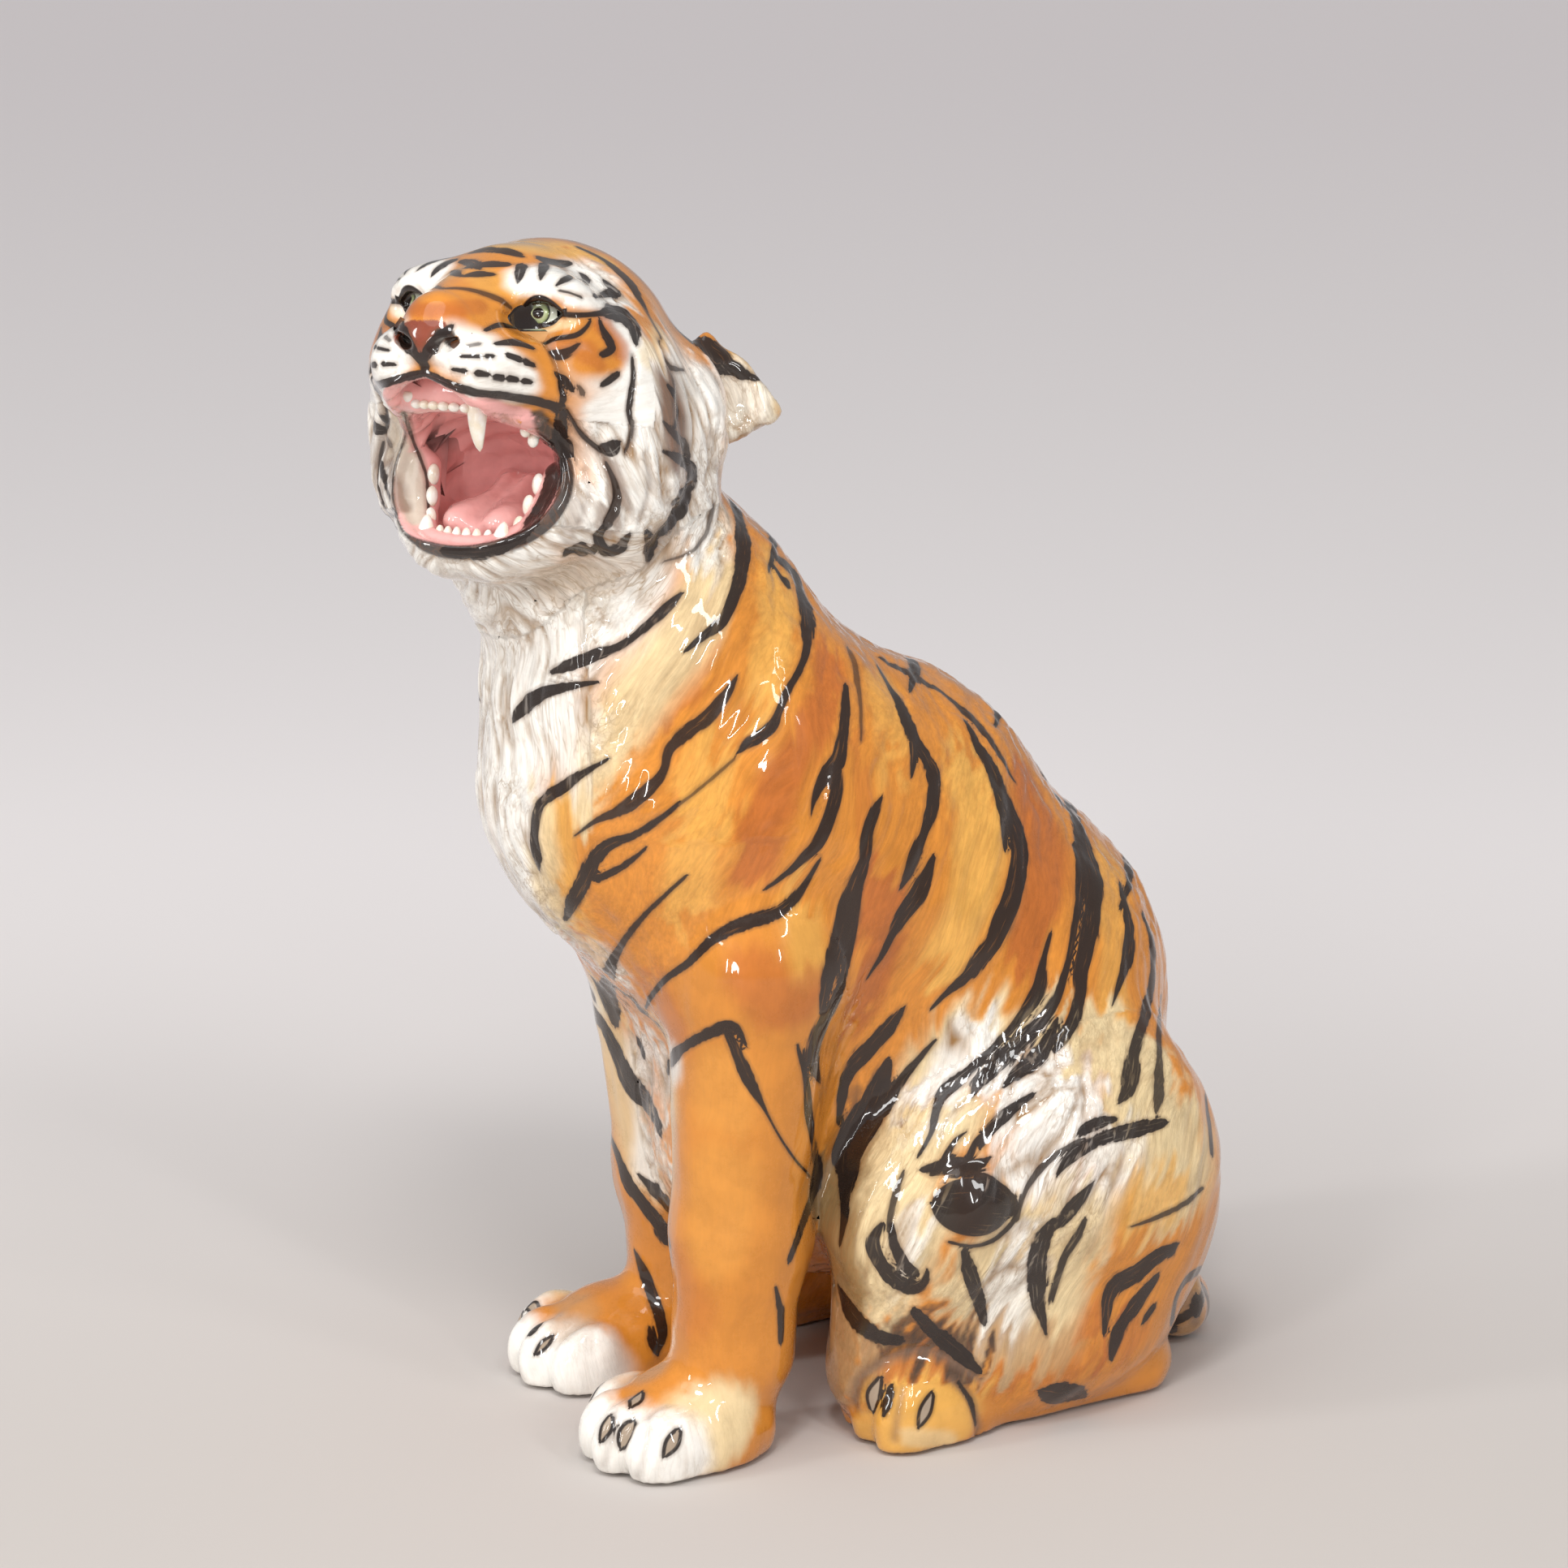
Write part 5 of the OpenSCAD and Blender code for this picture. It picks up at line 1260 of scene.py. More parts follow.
# %% Fur locks
FURROW = (0.320, 0.175, 0.065)
SMOOTH = {"face": 0.2, "foot": 0.0, "leg": 0.25}
LOCK_WIDE, LOCK_FINE, STRAND_WIDE = 8.0, 4.0, 9.0
LOCK_DEEP, LOCK_FINE_DEEP = 2.6, 0.8
BACK_RELIEF = 0.42
LUMP_TURN, LUMP_WIDE, LUMP_SMALL = 0.65, 26.0, 17.0
PALATE_LOW, PALATE_RIDGE = -34, 0.6
furriness = np.array([SMOOTH.get(k, 1.0) for k in kind])
paleness = np.clip((glaze[:, 2] - 0.16) / 0.40, 0, 1)
paleness[inside_mouth] = 0
carve = paleness * furriness
furrow = np.abs(clay_noise(fur_place / LOCK_WIDE, 3) - 0.5) * 2
furrow_fine = np.abs(clay_noise(fur_place / LOCK_FINE, 5) - 0.5) * 2
slant = np.array(Matrix.Rotation(LUMP_TURN, 3, Vector((1, 2, 3))))
lumps = clay_noise(skin_points @ slant / LUMP_WIDE, 8)
lumps = lumps + clay_noise(skin_points @ slant.T / LUMP_SMALL, 9) * 0.4 - 0.7
strands = clay_noise(fur_place / STRAND_WIDE, 12) - 0.5
relief = np.maximum(carve, np.where((kind == "neck") | (kind == "back"), BACK_RELIEF, 0))
lift = relief * ((np.minimum(furrow, 0.6) - 0.35) * LOCK_DEEP + (furrow_fine - 0.4) * LOCK_FINE_DEEP)
lift = lift + strands * np.where(on_head, 0.3, 1.2) * ~inside_mouth
lift = lift + np.where(inside_mouth, 2.0, 1.5) * lumps * np.where(on_head, 0.4, 1.0)
palate = inside_mouth & (head_place[:, 2] > PALATE_LOW) & (far_all[:, LINING] > 2)
lift = lift + PALATE_RIDGE * np.sin(head_place[:, 1] / 1.6 + np.abs(head_place[:, 0]) / 9) * palate
# The furrows are darkened with a thin brown, most where the coat is pale.
furrow_darkening = np.clip(1 - furrow / 0.32, 0, 1) * 0.72 + np.clip(1 - furrow_fine / 0.32, 0, 1) * 0.34
furrow_darkening = (furrow_darkening * carve * np.clip(clay_noise(skin_points / 18.0, 31) * 2.6 - 0.45, 0.25, 1))[:, None]
glaze = glaze * (1 - furrow_darkening) + np.array(FURROW) * furrow_darkening
fur_mask = furriness * ~inside_mouth
print("carved points", int((carve > 0.3).sum()))

# %% [markdown]
# ## Folds
#
# Some lines are modelled: the folds round the cheek, the parting of the toes and the crease above the hind
# paw. They are read off the photograph as the strokes are, pressed into the clay, and darkened with brown
# along their line as painted shade. The knee stands out as a round button.

# %% Press the folds
# Each fold: its depth in mm, how much painted shade darkens it, and its points with half widths in pixels.
BODY_FOLDS = [
    (2.6, 0.8, [(1050, 1732, 6), (1056, 1706, 7), (1080, 1684, 8), (1112, 1670, 9), (1150, 1668, 9),
        (1185, 1684, 8), (1208, 1702, 6)]),
    (2.2, 0.8, [(1172, 1700, 4), (1195, 1722, 5), (1207, 1752, 5), (1209, 1775, 4)]),
    (1.6, 0.5, [(1112, 1712, 5), (1106, 1745, 6), (1102, 1775, 6)]),
    (1.2, 0.3, [(757, 1738, 4), (754, 1775, 5), (744, 1808, 5)]),
    (1.2, 0.3, [(800, 1742, 4), (796, 1785, 5), (786, 1822, 5)]),
]
HEAD_FOLDS = [
    (2.0, 0.6, [(697, 507, 4), (713, 533, 5), (737, 557, 5), (747, 573, 5), (758, 597, 5), (760, 617, 5),
        (747, 645, 5)]),
    (1.6, 0.5, [(782, 440, 4), (782, 467, 4), (777, 507, 5), (780, 530, 4), (773, 557, 4)]),
    (1.8, 0.5, [(817, 423, 4), (823, 440, 5), (838, 470, 6), (840, 520, 6), (848, 560, 6)]),
    (2.0, 0.6, [(655, 400, 4), (676, 425, 5), (690, 455, 5), (694, 480, 5)]),
    (1.6, 0.5, [(850, 600, 5), (835, 630, 6), (812, 660, 6), (800, 692, 5)]),
    (1.2, 0.4, [(720, 580, 4), (726, 610, 5), (716, 645, 5)]),
    (1.2, 0.4, [(795, 560, 4), (802, 600, 5), (790, 640, 5)]),
]
KNEE_PIXEL = (1198, 1487)
KNEE_HIGH, KNEE_R, KNEE_ROUND = 5.6, 20.0, 0.9


def press_fold(places, halves, keep, depth, dark):
    near = near_stroke(places, halves.max() * 3)
    found = nearest_on(places, halves, keep, skin_points[near]) if len(near) else None
    if found is None:
        return
    press = np.exp(-(found[0] / found[1]) ** 2)
    lift[near] -= depth * press
    # Painted shade: brown darkens the fold along its line.
    weight = (dark * press)[:, None]
    glaze[near] = glaze[near] * (1 - weight) + np.array(BROWN) * weight


for folds, head_fold in ((BODY_FOLDS, False), (HEAD_FOLDS, True)):
    for depth_of_fold, dark, points in folds:
        places, _, halves = stroke_on_skin(points, STROKE_STEPS)
        press_fold(places, halves, np.ones(len(places), bool), depth_of_fold, dark)
        places, _, keep = other_side(places, head_fold)
        press_fold(places, halves, keep, depth_of_fold, dark)
knee_at = under_pixel(*KNEE_PIXEL, CAMERA_FAR)[0]
for side in (1, -1):
    from_knee = length(skin_points - knee_at * (side, 1, 1)) / KNEE_R
    lift = lift + KNEE_HIGH * np.clip(1 - from_knee ** 2, 0, 1) ** KNEE_ROUND
print("folds", len(BODY_FOLDS) + len(HEAD_FOLDS))

# %% [markdown]
# ## Eyes
#
# An eye is modelled in the clay as an almond: the ball bulges a little below the lids, and the lids stand
# up as a rim. Each point near an eye keeps its place across and above the eye's middle, in millimetres,
# so the shader can draw the round iris on it.

# %% Eye place and lids
EYE_INNER_PIXEL, EYE_OUTER_PIXEL = (636, 389), (694, 386)
EYE_TOP, EYE_LOW = 5.8, 4.6
IRIS_OFF, FAR_GAZE = (-0.6, 0.6), 6.5
EYE_REACH = (30, 24, 22)
LID_HIGH, CREASE_HIGH, BALL_SUNK, BALL_HIGH = 1.5, 0.8, -1.4, 1.6
inner_corner, outer_corner = (under_pixel(*px, CAMERA_FAR)[0] for px in (EYE_INNER_PIXEL, EYE_OUTER_PIXEL))
inner_corner, outer_corner = in_head(np.array([inner_corner, outer_corner], F)).astype(float)
eye_middle = (inner_corner + outer_corner) / 2
eye_across = outer_corner - inner_corner
eye_half = np.linalg.norm(eye_across) / 2
eye_across = eye_across / (2 * eye_half)
middle_world = from_head(eye_middle)
eye_out = np.array(skin_tree.find_nearest(Vector(middle_world))[1]) @ head_turn
eye_out = eye_out - eye_across * (eye_out @ eye_across)
eye_out = eye_out / np.linalg.norm(eye_out)
eye_above = np.cross(eye_out, eye_across)
eye_above = eye_above * np.sign(eye_above[2])
from_eye = face_place - eye_middle
eye_u, eye_v, eye_w = from_eye @ eye_across, from_eye @ eye_above, from_eye @ eye_out
near_eye = np.all(np.abs(np.stack([eye_u, eye_v, eye_w], 1)) < EYE_REACH, 1) & (point_casting == HEAD)
eye = np.full((len(skin_points), 3), NO_EYE)
gaze_u = eye_u - np.where(head_place[:, 0] < 0, FAR_GAZE, IRIS_OFF[0])
eye[near_eye] = np.stack([eye_u, eye_v, gaze_u], 1)[near_eye]
bow = 1 - np.clip(eye_u / eye_half, -1, 1) ** 2
rim = np.maximum(eye_v - EYE_TOP * bow, -EYE_LOW * bow - eye_v)
rim = np.maximum(rim, np.abs(eye_u) - eye_half)
lid = LID_HIGH * np.exp(-((rim - 0.6) / 1.5) ** 2)
lid = lid + CREASE_HIGH * np.exp(-((rim - 4.5) / 2.5) ** 2) * (eye_v > 0)
ball_bulge = np.where(rim < 0, BALL_SUNK + BALL_HIGH * np.clip(-rim / 4.0, 0, 1), 0)
lift[near_eye] += (lid + ball_bulge)[near_eye]
print("eye", np.round(eye_middle, 1), "half width", round(eye_half, 1), "points", int(near_eye.sum()))

# %% [markdown]
# ## The worked skin
#
# The fur, the folds, the knees and the lids move the points along the skin's normal. Then the one skin is
# cut into the castings that it is made of: each face goes to the casting it lies nearest to. All share the
# normals of the whole skin, so a seam doesn't show.

# %% Move the points
worked = skin_points + skin_normals * lift[:, None]
worked[hanging] = worked[hung_between].mean(1)
worked[:, 2] = np.where(skin_points[:, 2] < FELT_T + 0.3, skin_points[:, 2], np.maximum(worked[:, 2], FELT_T))


def corner_normals(points, quads):
    a, b, c, d = (points[quads[:, i]] for i in range(4))
    face = np.cross(c - a, d - b)
    out = np.zeros_like(points)
    for i in range(4):
        np.add.at(out, quads[:, i], face)
    return out / np.maximum(length(out), 1e-9)[:, None]


worked_normals = corner_normals(worked, skin_quads)
if np.einsum("ij,ij->i", worked_normals, skin_normals).mean() < 0:
    worked_normals = -worked_normals
worked_normals[hanging] = worked_normals[hung_between].mean(1)
print("moved by", round(float(lift.min()), 2), "to", round(float(lift.max()), 2), "mm")

# %% Cut the skin into castings
face_middle = skin_points[skin_quads].mean(1).astype(F)
face_far, face_room = castings_of(face_middle)
face_casting = np.argmin(face_far[:, :LINING], 1)
face_casting[in_mouth(face_room, face_far[:, :LINING].min(1), face_far[:, LINING])] = LINING


def add_piece(name, points, quads, triangles, normals=None, layers=None):
    mesh = bpy.data.meshes.new(name)
    mesh.vertices.add(len(points))
    mesh.vertices.foreach_set("co", np.asarray(points, F).ravel() * F(MM))
    corners = np.concatenate([np.asarray(quads, np.int32).ravel(), np.asarray(triangles, np.int32).ravel()])
    starts = np.concatenate([np.arange(len(quads)) * 4, len(quads) * 4 + np.arange(len(triangles)) * 3])
    mesh.loops.add(len(corners))
    mesh.loops.foreach_set("vertex_index", corners)
    mesh.polygons.add(len(starts))
    mesh.polygons.foreach_set("loop_start", starts.astype(np.int32))
    mesh.polygons.foreach_set("use_smooth", np.ones(len(starts), bool))
    mesh.update(calc_edges=True)
    for layer, values in (layers or {}).items():
        kind_of = "FLOAT_COLOR" if layer == "glaze" else "FLOAT_VECTOR"
        data = mesh.attributes.new(layer, kind_of, "POINT").data
        data.foreach_set("color" if layer == "glaze" else "vector", np.asarray(values, F).ravel())
    if normals is not None:
        mesh.normals_split_custom_set_from_vertices(np.asarray(normals, float).tolist())
    piece = bpy.data.objects.new(name, mesh)
    bpy.context.scene.collection.objects.link(piece)
    return piece


print("faces in the mouth lining", int((face_casting == LINING).sum()))

# %% [markdown]
# ## Hollow castings
#
# A casting is a shell: its part of the skin outside, and inside a coarser wall that meets the skin at the
# seams. The wall is thin by a seam, where the next casting is near, and thicker elsewhere, so that no eye
# or fold that is worked into the skin reaches it.

# %% Hollow the castings
WALL_CELL, WALL_FAR_CELL, SEAM_NEAR = 6.0, 26.0, 10.0
CELL_CODE = np.array([1, 1000, 1000000])
CELL_OFFSET = 200
THIN_WALLS = {
    "ear_left": (1.2, 1.2), "ear_right": (1.2, 1.2), "head": (2.0, 6.5), "lower_jaw": (2.0, 4.0),
    "mouth_lining": (2.0, 3.0),
}
THICK_WALL = (3.6, 6.5)


def hollow_casting(name, quads, by_seam_wall, far_wall):
    """A casting as it is poured: its part of the skin, and a coarser inner wall joined to it at the seams."""
    used, local = np.unique(quads, return_inverse=True)
    local = local.reshape(quads.shape)
    edges = np.concatenate([local[:, [i, (i + 1) % 4]] for i in range(4)])
    key = np.sort(edges, 1)
    key = key[:, 0].astype(np.int64) * len(used) + key[:, 1]
    _, which, count = np.unique(key, return_inverse=True, return_counts=True)
    seam = np.zeros(len(used), bool)
    seam[edges[count[which] == 1].ravel()] = True
    points, normals = worked[used], worked_normals[used]
    region = np.floor(points / SEAM_NEAR).astype(np.int64) @ CELL_CODE
    by_seam = np.isin(region, region[seam])
    far_cell = WALL_FAR_CELL if far_wall > by_seam_wall else WALL_CELL
    block = np.floor(points / np.where(by_seam, WALL_CELL, far_cell)[:, None]).astype(np.int64) + CELL_OFFSET
    facing = (normals > 0) @ np.array([1, 2, 4])
    code = (block @ CELL_CODE[::-1] * 8 + facing) * 2 + by_seam
    code[seam] = -1 - np.arange(len(used))[seam]
    groups, first, group = np.unique(code, return_index=True, return_inverse=True)
    inner = np.zeros((len(groups), 3))
    wall_here = np.where(by_seam, by_seam_wall, far_wall)[:, None]
    np.add.at(inner, group, points - normals * wall_here)
    inner = inner / np.bincount(group)[:, None]
    at_seam = groups < 0
    index = np.where(at_seam, first, len(used) + np.cumsum(~at_seam) - 1)[group]
    wall = index[np.concatenate([local[:, [0, 2, 1]], local[:, [0, 3, 2]]])]
    whole = (wall[:, 0] != wall[:, 1]) & (wall[:, 1] != wall[:, 2]) & (wall[:, 2] != wall[:, 0])
    wall = wall[whole]
    flat = (wall < len(used)).all(1)
    lone, wall = wall[flat], wall[~flat]
    middle = len(used) + int((~at_seam).sum()) + np.arange(len(lone))
    fans = [np.stack([lone[:, i], lone[:, (i + 1) % 3], middle], 1) for i in range(3)]
    wall = np.concatenate([wall] + fans)
    sunk = points[lone].mean(1) - normals[lone].mean(1) * by_seam_wall / 2
    pick = np.concatenate([used, used[first[~at_seam]], used[lone[:, 0]]])
    layers = {
        "glaze": np.c_[glaze, fur_mask], "stripe": stripe, "brush": brush, "fur_place": fur_place, "eye": eye,
    }
    layers = {k: np.asarray(v)[pick] for k, v in layers.items()}
    points = np.concatenate([points, inner[~at_seam], sunk])
    normals = np.concatenate([normals, -normals[first[~at_seam]], -normals[lone[:, 0]]])
    return add_piece(name, points, local, wall, normals, layers), len(local) * 2 + len(wall)


CASTING_SLOT = {name: "face_glaze" for name in ("head", "lower_jaw", "ear_left", "ear_right")}
CASTING_SLOT["mouth_lining"] = "mouth_glaze"
castings = {}
for column, name in enumerate(CASTINGS):
    castings[name], triangles = hollow_casting(
        name + "_glazed", skin_quads[face_casting == column], *THIN_WALLS.get(name, THICK_WALL))
    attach(castings[name], "root")
    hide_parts(name)
    print(name, "triangles", triangles)

# %% [markdown]
# ## Glaze
#
# The figure is painted under a clear glaze: the colour sits below a hard, wet gloss. The painted colour
# comes from the washes kept on the mesh, broken up by a fine mottle. Hairs are thin dark lines drawn along
# the coat where it is pale. The stripes are thresholded from their distances with a streaky noise, which
# leaves the dry ends of a brush.

# %% Shader helpers
def socket_in(tree, node, index, value):
    if isinstance(value, bpy.types.NodeSocket):
        tree.links.new(value, node.inputs[index])
    elif value is not None:
        node.inputs[index].default_value = value


def set_inputs(node, values):
    for label, value in values.items():
        node.inputs[label].default_value = value


def calc(tree, operation, a, b=None):
    node = tree.nodes.new("ShaderNodeMath")
    node.operation = operation
    socket_in(tree, node, 0, a)
    socket_in(tree, node, 1, b)
    return node.outputs[0]


def chain(operation):
    """A function that runs one operation along all the values it is given."""
    def run(tree, first, *more):
        for value in more:
            first = calc(tree, operation, first, value)
        return first
    return run


plus, minus, times = chain("ADD"), chain("SUBTRACT"), chain("MULTIPLY")
least, most = chain("MINIMUM"), chain("MAXIMUM")


def size_of(tree, value):
    return calc(tree, "ABSOLUTE", value)


def off_half(tree, value):
    return calc(tree, "SUBTRACT", value, 0.5)


def spread(tree, value, low, high, to_low=0.0, to_high=1.0):
    node = tree.nodes.new("ShaderNodeMapRange")
    node.interpolation_type = "SMOOTHSTEP"
    for i, v in enumerate((value, low, high, to_low, to_high)):
        socket_in(tree, node, i, v)
    return node.outputs[0]


def blend_colour(tree, amount, a, b):
    node = tree.nodes.new("ShaderNodeMix")
    node.data_type = "RGBA"
    socket_in(tree, node, 0, amount)
    for i, value in ((6, a), (7, b)):
        socket_in(tree, node, i, value if isinstance(value, bpy.types.NodeSocket) else (*value, 1))
    return node.outputs[2]


def layer_of(tree, name):
    node = tree.nodes.new("ShaderNodeAttribute")
    node.attribute_name = name
    return node


def parts_of(tree, vector):
    node = tree.nodes.new("ShaderNodeSeparateXYZ")
    tree.links.new(vector, node.inputs[0])
    return node.outputs[0], node.outputs[1], node.outputs[2]


def vector_of(tree, x, y, z):
    node = tree.nodes.new("ShaderNodeCombineXYZ")
    for i, value in enumerate((x, y, z)):
        socket_in(tree, node, i, value)
    return node.outputs[0]


def noise_of(tree, where, scale, detail=2.0, rough=0.5):
    node = tree.nodes.new("ShaderNodeTexNoise")
    tree.links.new(where, node.inputs["Vector"])
    set_inputs(node, {"Scale": scale, "Detail": detail, "Roughness": rough})
    return node.outputs[0]


def bump_by(tree, shader, height, distance):
    bump = tree.nodes.new("ShaderNodeBump")
    set_inputs(bump, {"Strength": 0.5, "Distance": distance})
    tree.links.new(height, bump.inputs["Height"])
    tree.links.new(bump.outputs[0], shader.inputs["Normal"])


def new_finish(name):
    """A new material, its node tree, its shader, and where a point lies on the piece."""
    material = bpy.data.materials.new(name)
    material.use_nodes = True
    tree = material.node_tree
    place = tree.nodes.new("ShaderNodeTexCoord").outputs["Object"]
    return material, tree, tree.nodes["Principled BSDF"], place


print("shader helpers ready")

# %% Hairs and strokes in the glaze
INK = (0.018, 0.011, 0.009)
INK_THIN = (0.130, 0.062, 0.030)
HAIR = (0.310, 0.185, 0.080)
HAIR_RICH = (0.400, 0.120, 0.022)
HAIR_LINES = ((0.10, 0.030, 0.36), (0.17, 0.036, 0.50), (0.30, 0.036, 0.42))
CLAW_CORE = (0.480, 0.370, 0.270)


def draw_hairs(tree, painted, place, coat, pale, rich):
    """Thin dark lines along the coat where it is pale, and deeper tufts where it is rich."""
    tuft = spread(tree, size_of(tree, off_half(tree, noise_of(tree, coat, 0.22))), 0.06, 0.0)
    painted = blend_colour(tree, times(tree, tuft, rich, 0.14), painted, HAIR_RICH)
    patch = spread(tree, noise_of(tree, place, 26.0), 0.36, 0.66, 0.15, 1.0)
    for scale, width, strength in HAIR_LINES:
        wave = size_of(tree, off_half(tree, noise_of(tree, coat, scale, 2.0, 0.45)))
        hair = times(tree, spread(tree, wave, width, 0.0), patch, pale)
        painted = blend_colour(tree, times(tree, hair, strength), painted, HAIR)
    return painted


def draw_strokes(tree, painted, coat, pale, reach):
    """Ink inside a stroke's width, ragged and worn along the brush, with a thin brown rim around it."""
    cross, half, near = parts_of(tree, layer_of(tree, "stripe").outputs["Vector"])
    along, number, tone = parts_of(tree, layer_of(tree, "brush").outputs["Vector"])
    streak_at = vector_of(tree, times(tree, along, 0.05), times(tree, cross, 0.75), number)
    streak = noise_of(tree, streak_at, 1.0, 3.0, 0.6)
    raggedness = plus(tree, times(tree, least(tree, half, 5.0), 0.55), 0.15)
    ragged = times(tree, off_half(tree, streak), raggedness)
    feather = off_half(tree, noise_of(tree, coat, 0.36, 1.5))
    feather = times(tree, feather, times(tree, least(tree, half, 4.0), 0.65))
    feather = times(tree, plus(tree, ragged, feather), spread(tree, tone, 1.15, 1.05))
    edge = most(tree, minus(tree, size_of(tree, cross), half), minus(tree, near, reach))
    edge = plus(tree, edge, feather)
    worn = times(tree, spread(tree, streak, 0.58, 0.74, 0.0, 0.35), spread(tree, half, 1.0, 3.0))
    ridge = spread(tree, noise_of(tree, coat, 0.30), 0.57, 0.68, 0.0, 0.4)
    ridge = times(tree, ridge, times(tree, spread(tree, half, 1.2, 3.0), pale))
    ink = times(tree, spread(tree, edge, 0.35, -0.35), minus(tree, 1.0, most(tree, worn, ridge)))
    ink = times(tree, ink, spread(tree, tone, 0.3, 1.0, 0.45, 0.97))
    rim_of_ink = times(tree, spread(tree, edge, 2.0, 0.0), 0.42)
    painted = blend_colour(tree, rim_of_ink, painted, INK_THIN)
    painted = blend_colour(tree, ink, painted, INK)
    core = times(tree, spread(tree, tone, 1.24, 1.28), spread(tree, edge, -1.4, -2.2), 0.8)
    return blend_colour(tree, core, painted, CLAW_CORE)


print("hair lines", len(HAIR_LINES))

# %% Eyes in the glaze
EYE_WHITE = (0.60, 0.62, 0.50)
IRIS_GREEN = (0.33, 0.40, 0.16)
IRIS_PALE = (0.55, 0.58, 0.38)
IRIS_R, PUPIL_R = 5.4, 2.5


def draw_eyes(tree, painted):
    """White, iris and pupil inside the lids, a shadow under the upper lid and a dark line around."""
    u, v, du = parts_of(tree, layer_of(tree, "eye").outputs["Vector"])
    share = least(tree, size_of(tree, calc(tree, "DIVIDE", u, eye_half)), 1.0)
    bow_here = minus(tree, 1.0, times(tree, share, share))
    top = minus(tree, v, times(tree, bow_here, EYE_TOP))
    low = minus(tree, times(tree, bow_here, -EYE_LOW), v)
    edge = most(tree, top, low, minus(tree, size_of(tree, u), eye_half))
    dv = minus(tree, v, IRIS_OFF[1])
    round_r = calc(tree, "SQRT", plus(tree, times(tree, du, du), times(tree, dv, dv)))
    rays = noise_of(tree, vector_of(tree, calc(tree, "ARCTAN2", du, dv), 0.0, 0.0), 9.0)
    iris = spread(tree, minus(tree, round_r, rays), 0.8, 4.6)
    iris = blend_colour(tree, iris, IRIS_PALE, IRIS_GREEN)
    iris = blend_colour(tree, spread(tree, round_r, IRIS_R - 1.6, IRIS_R - 0.4), iris, INK)
    ball_colour = blend_colour(tree, spread(tree, round_r, IRIS_R, IRIS_R - 0.3), EYE_WHITE, iris)
    pupil = spread(tree, round_r, PUPIL_R + 0.3, PUPIL_R - 0.3)
    ball_colour = blend_colour(tree, pupil, ball_colour, INK)
    ball_colour = blend_colour(tree, spread(tree, top, -4.0, -0.5, 0.0, 0.7), ball_colour, INK)
    painted = blend_colour(tree, spread(tree, edge, 0.4, -0.4), painted, ball_colour)
    thick = spread(tree, v, -3.0, 1.0, 0.9, 1.7)
    line = minus(tree, size_of(tree, minus(tree, edge, 0.3)), thick)
    return blend_colour(tree, spread(tree, line, 0.3, -0.3), painted, INK)


print("iris radius", IRIS_R, "mm, pupil", PUPIL_R, "mm")

# %% The painted glaze
CLEAR_COAT = {"Coat Weight": 1.0, "Coat Roughness": 0.035, "Specular IOR Level": 0.12}
GLAZE_BUMP = 0.0012


def gloss(tree, shader, place, mottle, fine, pale, wet):
    """The clear coat over an uneven ground: duller patches, a fine crackle, and waves where it is wet."""
    set_inputs(shader, CLEAR_COAT)
    crackle = spread(tree, noise_of(tree, place, 900.0), 0.3, 0.7, 0.0, 0.05)
    dull = spread(tree, mottle, 0.3, 0.7, 0.20 - wet * 0.08, 0.34 - wet * 0.1)
    tree.links.new(plus(tree, dull, crackle), shader.inputs["Roughness"])
    hairy = times(tree, fine, plus(tree, times(tree, pale, 0.9), 0.12))
    waves = times(tree, noise_of(tree, place, 130.0, 1.5), wet * 1.6)
    bump_by(tree, shader, plus(tree, hairy, times(tree, mottle, 0.5), waves), GLAZE_BUMP)


def painted_glaze(name, with_eyes=False, wet=0.0, reach=0.75):
    material, tree, shader, place = new_finish(name)
    colour, furry = (layer_of(tree, "glaze").outputs[k] for k in ("Color", "Alpha"))
    coat = layer_of(tree, "fur_place").outputs["Vector"]
    mottle = noise_of(tree, place, 55.0, 4.0, 0.6)
    fine = noise_of(tree, coat, 0.55, 3.0, 0.6)
    tint = tree.nodes.new("ShaderNodeHueSaturation")
    tree.links.new(colour, tint.inputs["Color"])
    grain = times(tree, spread(tree, fine, 0.3, 0.7, -0.10, 0.08), furry)
    light = plus(tree, spread(tree, mottle, 0.3, 0.7, -0.09, 0.07), grain, 1.0)
    tree.links.new(light, tint.inputs["Value"])
    bands = tree.nodes.new("ShaderNodeSeparateColor")
    tree.links.new(colour, bands.inputs[0])
    blue = bands.outputs[2]
    pale = times(tree, spread(tree, blue, 0.12, 0.5), furry)
    rich = times(tree, spread(tree, blue, 0.25, 0.10), furry)
    painted = draw_hairs(tree, tint.outputs["Color"], place, coat, pale, rich)
    painted = draw_strokes(tree, painted, coat, pale, reach)
    if with_eyes:
        painted = draw_eyes(tree, painted)
    tree.links.new(painted, shader.inputs["Base Color"])
    gloss(tree, shader, place, mottle, fine, pale, wet)
    return material


GLAZES = {
    "coat_glaze": painted_glaze("coat_glaze"),
    "face_glaze": painted_glaze("face_glaze", with_eyes=True, reach=0.4),
    "mouth_glaze": painted_glaze("mouth_glaze", wet=1.0),
}
for name, piece in castings.items():
    piece.data.materials.append(GLAZES[CASTING_SLOT.get(name, "coat_glaze")])
print("glazed castings", len(castings))

# %% [markdown]
# ## Teeth
#
# A canine is a bent cone. The incisors and the cheek teeth stand in rows, and a row is what Geometry Nodes
# are for: a point for each tooth, a rounded tooth on each point, and a little seeded unevenness as from
# teeth set by hand.

